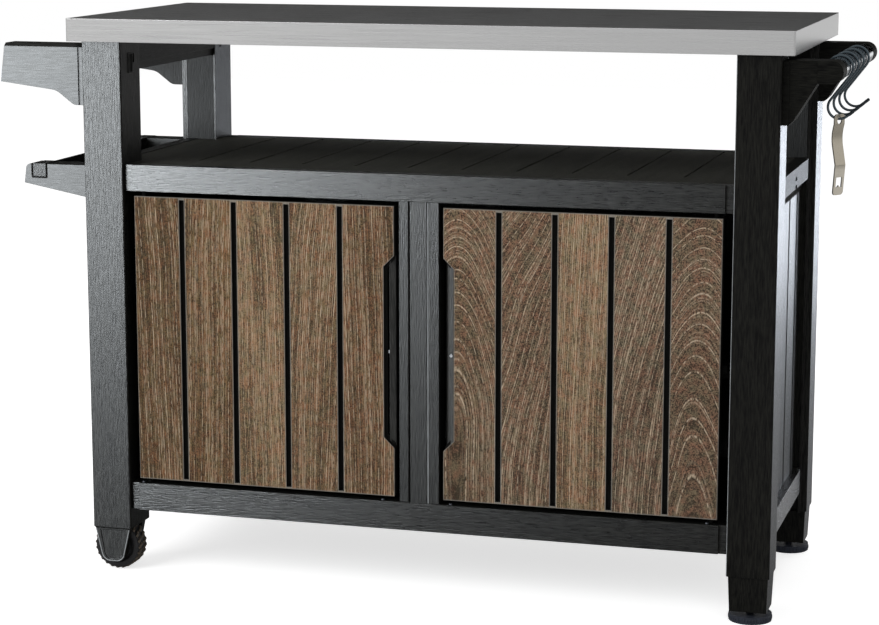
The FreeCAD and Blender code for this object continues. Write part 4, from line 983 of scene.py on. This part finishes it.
screws = screw_tree()
SCREW_RADIUS, SEAT_GAP = 0.0034, 0.0003
RAIL_SCREWS = ((0.009, 0.0165), (0.011, 0.0294))
FACING = {"right": (0, math.pi / 2, 0), "left": (0, -math.pi / 2, 0),
          "front": (math.pi / 2, 0, 0), "up": (0, 0, 0)}
for side in SIDES:
    low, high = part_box(f"shelf_rail_{side}")
    face = high.x + SEAT_GAP if side == "right" else low.x - SEAT_GAP
    rail_screws = grow(f"shelf_rail_screws_{side}", screws, "cart", {
        "Head Radius": SCREW_RADIUS, "Head Height": 0.0016, "Turn": FACING[side],
        "Material": dark_screw}, [(face, y, high.z - drop) for y, drop in RAIL_SCREWS])
print("Screw triangles:", triangles(rail_screws))

# %% [markdown]
# ## Plates and strips
# Some trim is a flat plate with softened edges: the strip inside each finger grip, the black
# plates that paint the shade round the rack rail's end, the clip window on a leg. One function
# extrudes an outline that is drawn on a flat plane, cuts its hole out, and rounds the edges
# with a Bevel modifier that is applied at once.

# %% A helper for flat trim
THIN_EDGE = 0.0001


def plate(name, plane, at, thick, outline, body, material, hole=(), edge=THIN_EDGE):
    """Extrude an outline along the plane's axis from at to at + thick, with soft edges."""
    spot = {"x": lambda u, v, w: (w, u, v), "y": lambda u, v, w: (u, w, v)}[plane]
    shape = bmesh.new()
    loops = [[shape.verts.new(spot(u, v, at)) for u, v in loop] for loop in (outline, hole)
             if loop]
    edges = [shape.edges.new((loop[k], loop[(k + 1) % len(loop)]))
             for loop in loops for k in range(len(loop))]
    bmesh.ops.triangle_fill(shape, use_beauty=True, use_dissolve=True, edges=edges)
    grown = bmesh.ops.extrude_face_region(shape, geom=list(shape.faces))
    verts = [item for item in grown["geom"] if isinstance(item, bmesh.types.BMVert)]
    bmesh.ops.translate(shape, verts=verts, vec=Vector(spot(0, 0, thick)))
    bmesh.ops.recalc_face_normals(shape, faces=shape.faces)
    mesh = bpy.data.meshes.new(name + "_flat")
    shape.to_mesh(mesh)
    shape.free()
    mesh.materials.append(material)
    maker = put(name + "_maker", mesh)
    soft = maker.modifiers.new("soft_edges", "BEVEL")
    soft.width, soft.segments, soft.limit_method = edge, 2, "ANGLE"
    return place_piece(name, plain_mesh(maker), body)


def frame_loop(left, low, right, high, out=0.0):
    """The four corners of an upright rectangle, moved out on every side."""
    return [(left - out, low - out), (right + out, low - out), (right + out, high + out),
            (left - out, high + out)]


print("Ready to cut plates")

# %% [markdown]
# ## Finger grips
# Inside each grip a graphite strip slants back from the door's face for the fingers, and a
# small screw holds it at mid height. The strip ends in slopes, as the grip does. The right
# strip starts further in and is wider, since the camera looks into that grip. Its colour is
# painted paler than graphite, a painted light where the strip catches the sheen.

# %% Fit the grips
GRIPS = {"left": {"near": 0.0005, "far": 0.0095, "screw_front": 0.0115},
         "right": {"near": 0.0035, "far": 0.0150, "screw_front": 0.0060}}
STRIP_FOOT, STRIP_HEAD, STRIP_FACE, STRIP_THICK = 0.0790, 0.0788, 0.0139, 0.0012
SCREW_IN, SCREW_HEIGHT, STRIP_SLANT = 0.0118, 0.3895, 0.7
for side, grip in GRIPS.items():
    low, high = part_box(f"{side}_door_front")
    inner, sign = (high.x, -1) if side == "left" else (low.x, 1)
    near, far = inner + sign * grip["near"], inner + sign * grip["far"]
    foot, head, slope = low.z + STRIP_FOOT, high.z - STRIP_HEAD, abs(far - near)
    strip = plate(f"{side}_grip_strip", "y", low.y + STRIP_FACE, -STRIP_THICK,
                  [(near, foot), (far, foot + slope), (far, head - slope), (near, head)],
                  f"{side}_door", paler_lit_grip_resin, edge=0.0006)
    for vertex in strip.data.vertices:
        vertex.co.y -= STRIP_SLANT * abs(vertex.co.x - near)
    left_resin.objects.link(strip)
    grow(f"{side}_grip_screw", screws, f"{side}_door", {
        "Head Radius": SCREW_RADIUS, "Head Height": 0.0018, "Turn": FACING["front"],
        "Material": screw_steel},
        [(inner + sign * SCREW_IN, low.y + grip["screw_front"], SCREW_HEIGHT)])
print("Grip strips", round(head - foot, 3), "m tall")

# %% [markdown]
# ## Shade round the rack rail's end, and the leg window
# The rack rail's square end drops into a notch, and black plates paint the shade of its gap as a
# dark line on three sides of it. On the leg's inner side a small window shows the clip of the
# top rail.

# %% Paint the notch shade and fit the windows
NOTCH_SHADE, NOTCH_SHADE_TOP, NOTCH_SHADE_THICK = 0.0024, 0.0004, 0.0004
WINDOW_IN, WINDOW_WIDE, WINDOW_DROP, WINDOW_TALL = 0.033, 0.012, 0.0505, 0.027
WINDOW_THICK, RIM_THICK = 0.0005, 0.0009
low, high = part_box("rack_rail")
top = high.z - NOTCH_SHADE_TOP
notch = [(low.x - NOTCH_SHADE, top), (low.x - NOTCH_SHADE, low.z - NOTCH_SHADE),
         (high.x + NOTCH_SHADE, low.z - NOTCH_SHADE), (high.x + NOTCH_SHADE, top), (high.x, top),
         (high.x, low.z), (low.x, low.z), (low.x, top)]
# Black plates paint the shade of the gap round the rail's end.
for end, face, out in (("front", low.y, -NOTCH_SHADE_THICK), ("rear", high.y, NOTCH_SHADE_THICK)):
    plate(f"rack_saddle_{end}", "y", face, out, notch, "cart", black["x"])
for side in SIDES:
    low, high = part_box(f"leg_front_{side}")
    face, sign = (high.x, 1) if side == "left" else (low.x, -1)
    window = (low.y + WINDOW_IN, high.z - WINDOW_DROP, low.y + WINDOW_IN + WINDOW_WIDE,
              high.z - WINDOW_DROP + WINDOW_TALL)
    plate(f"leg_window_{side}", "x", face, sign * WINDOW_THICK, frame_loop(*window), "cart",
          black["z"])
    plate(f"leg_window_rim_{side}", "x", face, sign * RIM_THICK,
          frame_loop(*window, out=0.0025), "cart", graphite["z"],
          hole=frame_loop(*window, out=0.0005), edge=0.0002)
print("Window", WINDOW_WIDE, "by", WINDOW_TALL, "m")

# %% [markdown]
# ## Fork beads and joint shade
# Each wheel fork gets a pale bead round its U-shaped cheek, a painted highlight along its rim,
# and a black strip that paints the shade of the groove where it meets the leg. The bead is a
# wire along the cheek's outline.

# %% Line the forks
CHEEK_FOOT, CHEEK_ROUND, CHEEK_STEPS = 0.0175, 0.015, 8
BEAD_IN, BEAD_DROP, BEAD_RADIUS = 0.0012, 0.0025, 0.0009
GROOVE_OUT, GROOVE_TOP, GROOVE_FOOT, PROUD = 0.0002, 0.0002, 0.0018, 0.0001
leg_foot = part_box("leg_front_left")[0].z
for end in ENDS:
    low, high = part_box(f"wheel_fork_{end}")
    face, out = (low.y, -PROUD) if end == "front" else (high.y, PROUD)
    middle, half = (low.x + high.x) / 2, (high.x - low.x) / 2
    lean = math.atan((half - CHEEK_FOOT) / (leg_foot - low.z))
    path = [(middle - half + BEAD_IN, face + out, leg_foot - BEAD_DROP)]
    for turn in (-1, 1):
        centre_x = middle + turn * (CHEEK_FOOT + CHEEK_ROUND * (math.tan(lean)
                                                                - 1 / math.cos(lean)))
        for k in range(CHEEK_STEPS + 1):
            share = k / CHEEK_STEPS if turn < 0 else 1 - k / CHEEK_STEPS
            angle = (math.pi / 2 - lean) * (1 - share)
            path.append((centre_x + turn * (CHEEK_ROUND - BEAD_IN) * math.sin(angle),
                         face + out,
                         low.z + CHEEK_ROUND - (CHEEK_ROUND - BEAD_IN) * math.cos(angle)))
    path.append((middle + half - BEAD_IN, face + out, leg_foot - BEAD_DROP))
    # A pale wire paints the highlight on the cheek's rim.
    grow(f"fork_bead_{end}", wire, "cart",
         {"Wire Radius": BEAD_RADIUS, "Sides": 8, "Material": highlight_bead_resin}, path)
    # A black strip paints the shade of the groove at the joint.
    plate(f"fork_groove_{end}", "y", face, out * 5,
          frame_loop(middle - half - GROOVE_OUT, leg_foot - GROOVE_FOOT,
                     middle + half + GROOVE_OUT, leg_foot - GROOVE_TOP), "cart",
          black["x"])
print("Bead points:", len(path))

# %% [markdown]
# ## Hook tips and door stops
# The tips of the hooks are dipped in dark resin. Four screw heads on the bottom rail's top,
# two under each door, hold the plates that the doors rest against.

# %% Dip the tips and set the stops
DIP_LONG, DIP_BACK, DIP_RADIUS = 0.009, 0.0005, 0.0025
STOPS = {"left": (0.0050, -0.0205), "right": (0.0115, -0.0160)}
STOP_BACK, STOP_UP = 0.0043, 0.0008
for number, tip in hook_tips.items():
    dip_end = tip - tip_heading * DIP_BACK / tip_heading.x
    grow(f"dipped_tip_{number}", wire, f"hook_{number}",
         {"Wire Radius": DIP_RADIUS, "Sides": 12, "Material": tip_resin},
         [dip_end - tip_heading * DIP_LONG, dip_end])
low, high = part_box("bottom_rail_front")
grow("door_stop_screws", screws, "cart", {
    "Head Radius": 0.0036, "Head Height": 0.0022, "Turn": FACING["up"], "Material": dark_screw},
    [(corner.x + shift, low.y + STOP_BACK, high.z + STOP_UP) for side, shifts in STOPS.items()
     for corner, shift in zip(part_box(f"{side}_door_front"), shifts)])
print("Door stop height:", round(high.z, 4))

# %% [markdown]
# ## The centre post's face, painted highlights and painted shade
# The centre post has a raised strip, and its right part is drawn here level with that strip,
# because the strip's shadow would hide it in the picture. A thin pale line between the two is
# a painted highlight, and a black line paints the shade in the narrow groove. A pale line on
# the right leg's front corner paints its highlight too. The lines stand less than a millimetre
# proud.

# %% Draw the post and the leg's edge
POST_STEP, STRIP_IN, POST_RIGHT, GROOVE_LEFT, GROOVE_WIDE = 0.006, 0.0008, 0.0193, 0.0141, 0.002
HAIR, END_GAP, HIGHLIGHT_IN, EDGE_RADIUS = 0.0003, 0.001, 0.0014, 0.0005
low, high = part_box("centre_post")
side_front, strip_front, strip_edge = low.y + POST_STEP, low.y + STRIP_IN, high.x - POST_RIGHT
flush = plate("post_right_face", "y", side_front, strip_front - side_front,
              frame_loop(strip_edge, low.z + HAIR, high.x - HAIR, high.z - HAIR), "cart",
              graphite["z"], edge=HAIR)
left_resin.objects.link(flush)
# A pale wire paints the highlight between the strip and the right part.
grow("post_painted_highlight", wire, "cart",
     {"Wire Radius": BEAD_RADIUS, "Sides": 6, "Material": highlight_bead_resin},
     [(strip_edge + HIGHLIGHT_IN, strip_front, z) for z in (low.z + END_GAP, high.z - END_GAP)])
groove = low.x + GROOVE_LEFT
# A black strip paints the shade in the groove.
plate("post_groove_shade", "y", side_front - PROUD, -HAIR,
      frame_loop(groove, low.z + END_GAP, groove + GROOVE_WIDE, high.z - END_GAP), "cart",
      black["z"])
print("Post face", round(high.z - low.z, 3), "m tall")
low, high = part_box("leg_front_right")
# A pale wire paints the highlight on the leg's front corner.
grow("leg_edge_highlight", wire, "cart",
     {"Wire Radius": EDGE_RADIUS, "Sides": 6, "Material": highlight_bead_resin},
     [(low.x + HAIR, low.y + HAIR, z) for z in (low.z + END_GAP, high.z - 2 * END_GAP)])

# %% [markdown]
# ## Shade in the panel grooves
# The side panels have narrow upright grooves, and their top lies in the shade of the rail.
# Both would be lost in a picture of the whole, so strips of black resin draw them: 10 mm wide
# where the grooves are 6 mm, so that they still show.

# %% Shade the side panels
PANEL_PITCH, SHADE_HALF, TOP_SHADE, TOP_SHADE_IN = 0.083, 0.005, 0.021, 0.0007
for side in SIDES:
    low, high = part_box(f"side_panel_{side}")
    face, out = (high.x, HAIR) if side == "right" else (low.x, -HAIR)
    for number in range(1, 5):
        middle = (number - 2.5) * PANEL_PITCH
        plate(f"panel_shade_{side}_{number}", "x", face, out,
              frame_loop(middle - SHADE_HALF, low.z + END_GAP, middle + SHADE_HALF,
                         high.z - END_GAP), "cart", black["z"])
    plate(f"panel_top_shade_{side}", "x", face, out * 2,
          frame_loop(low.y + TOP_SHADE_IN, high.z - TOP_SHADE, high.y - TOP_SHADE_IN, high.z),
          "cart", black["z"])
print("Panel shade at", round(face, 4))
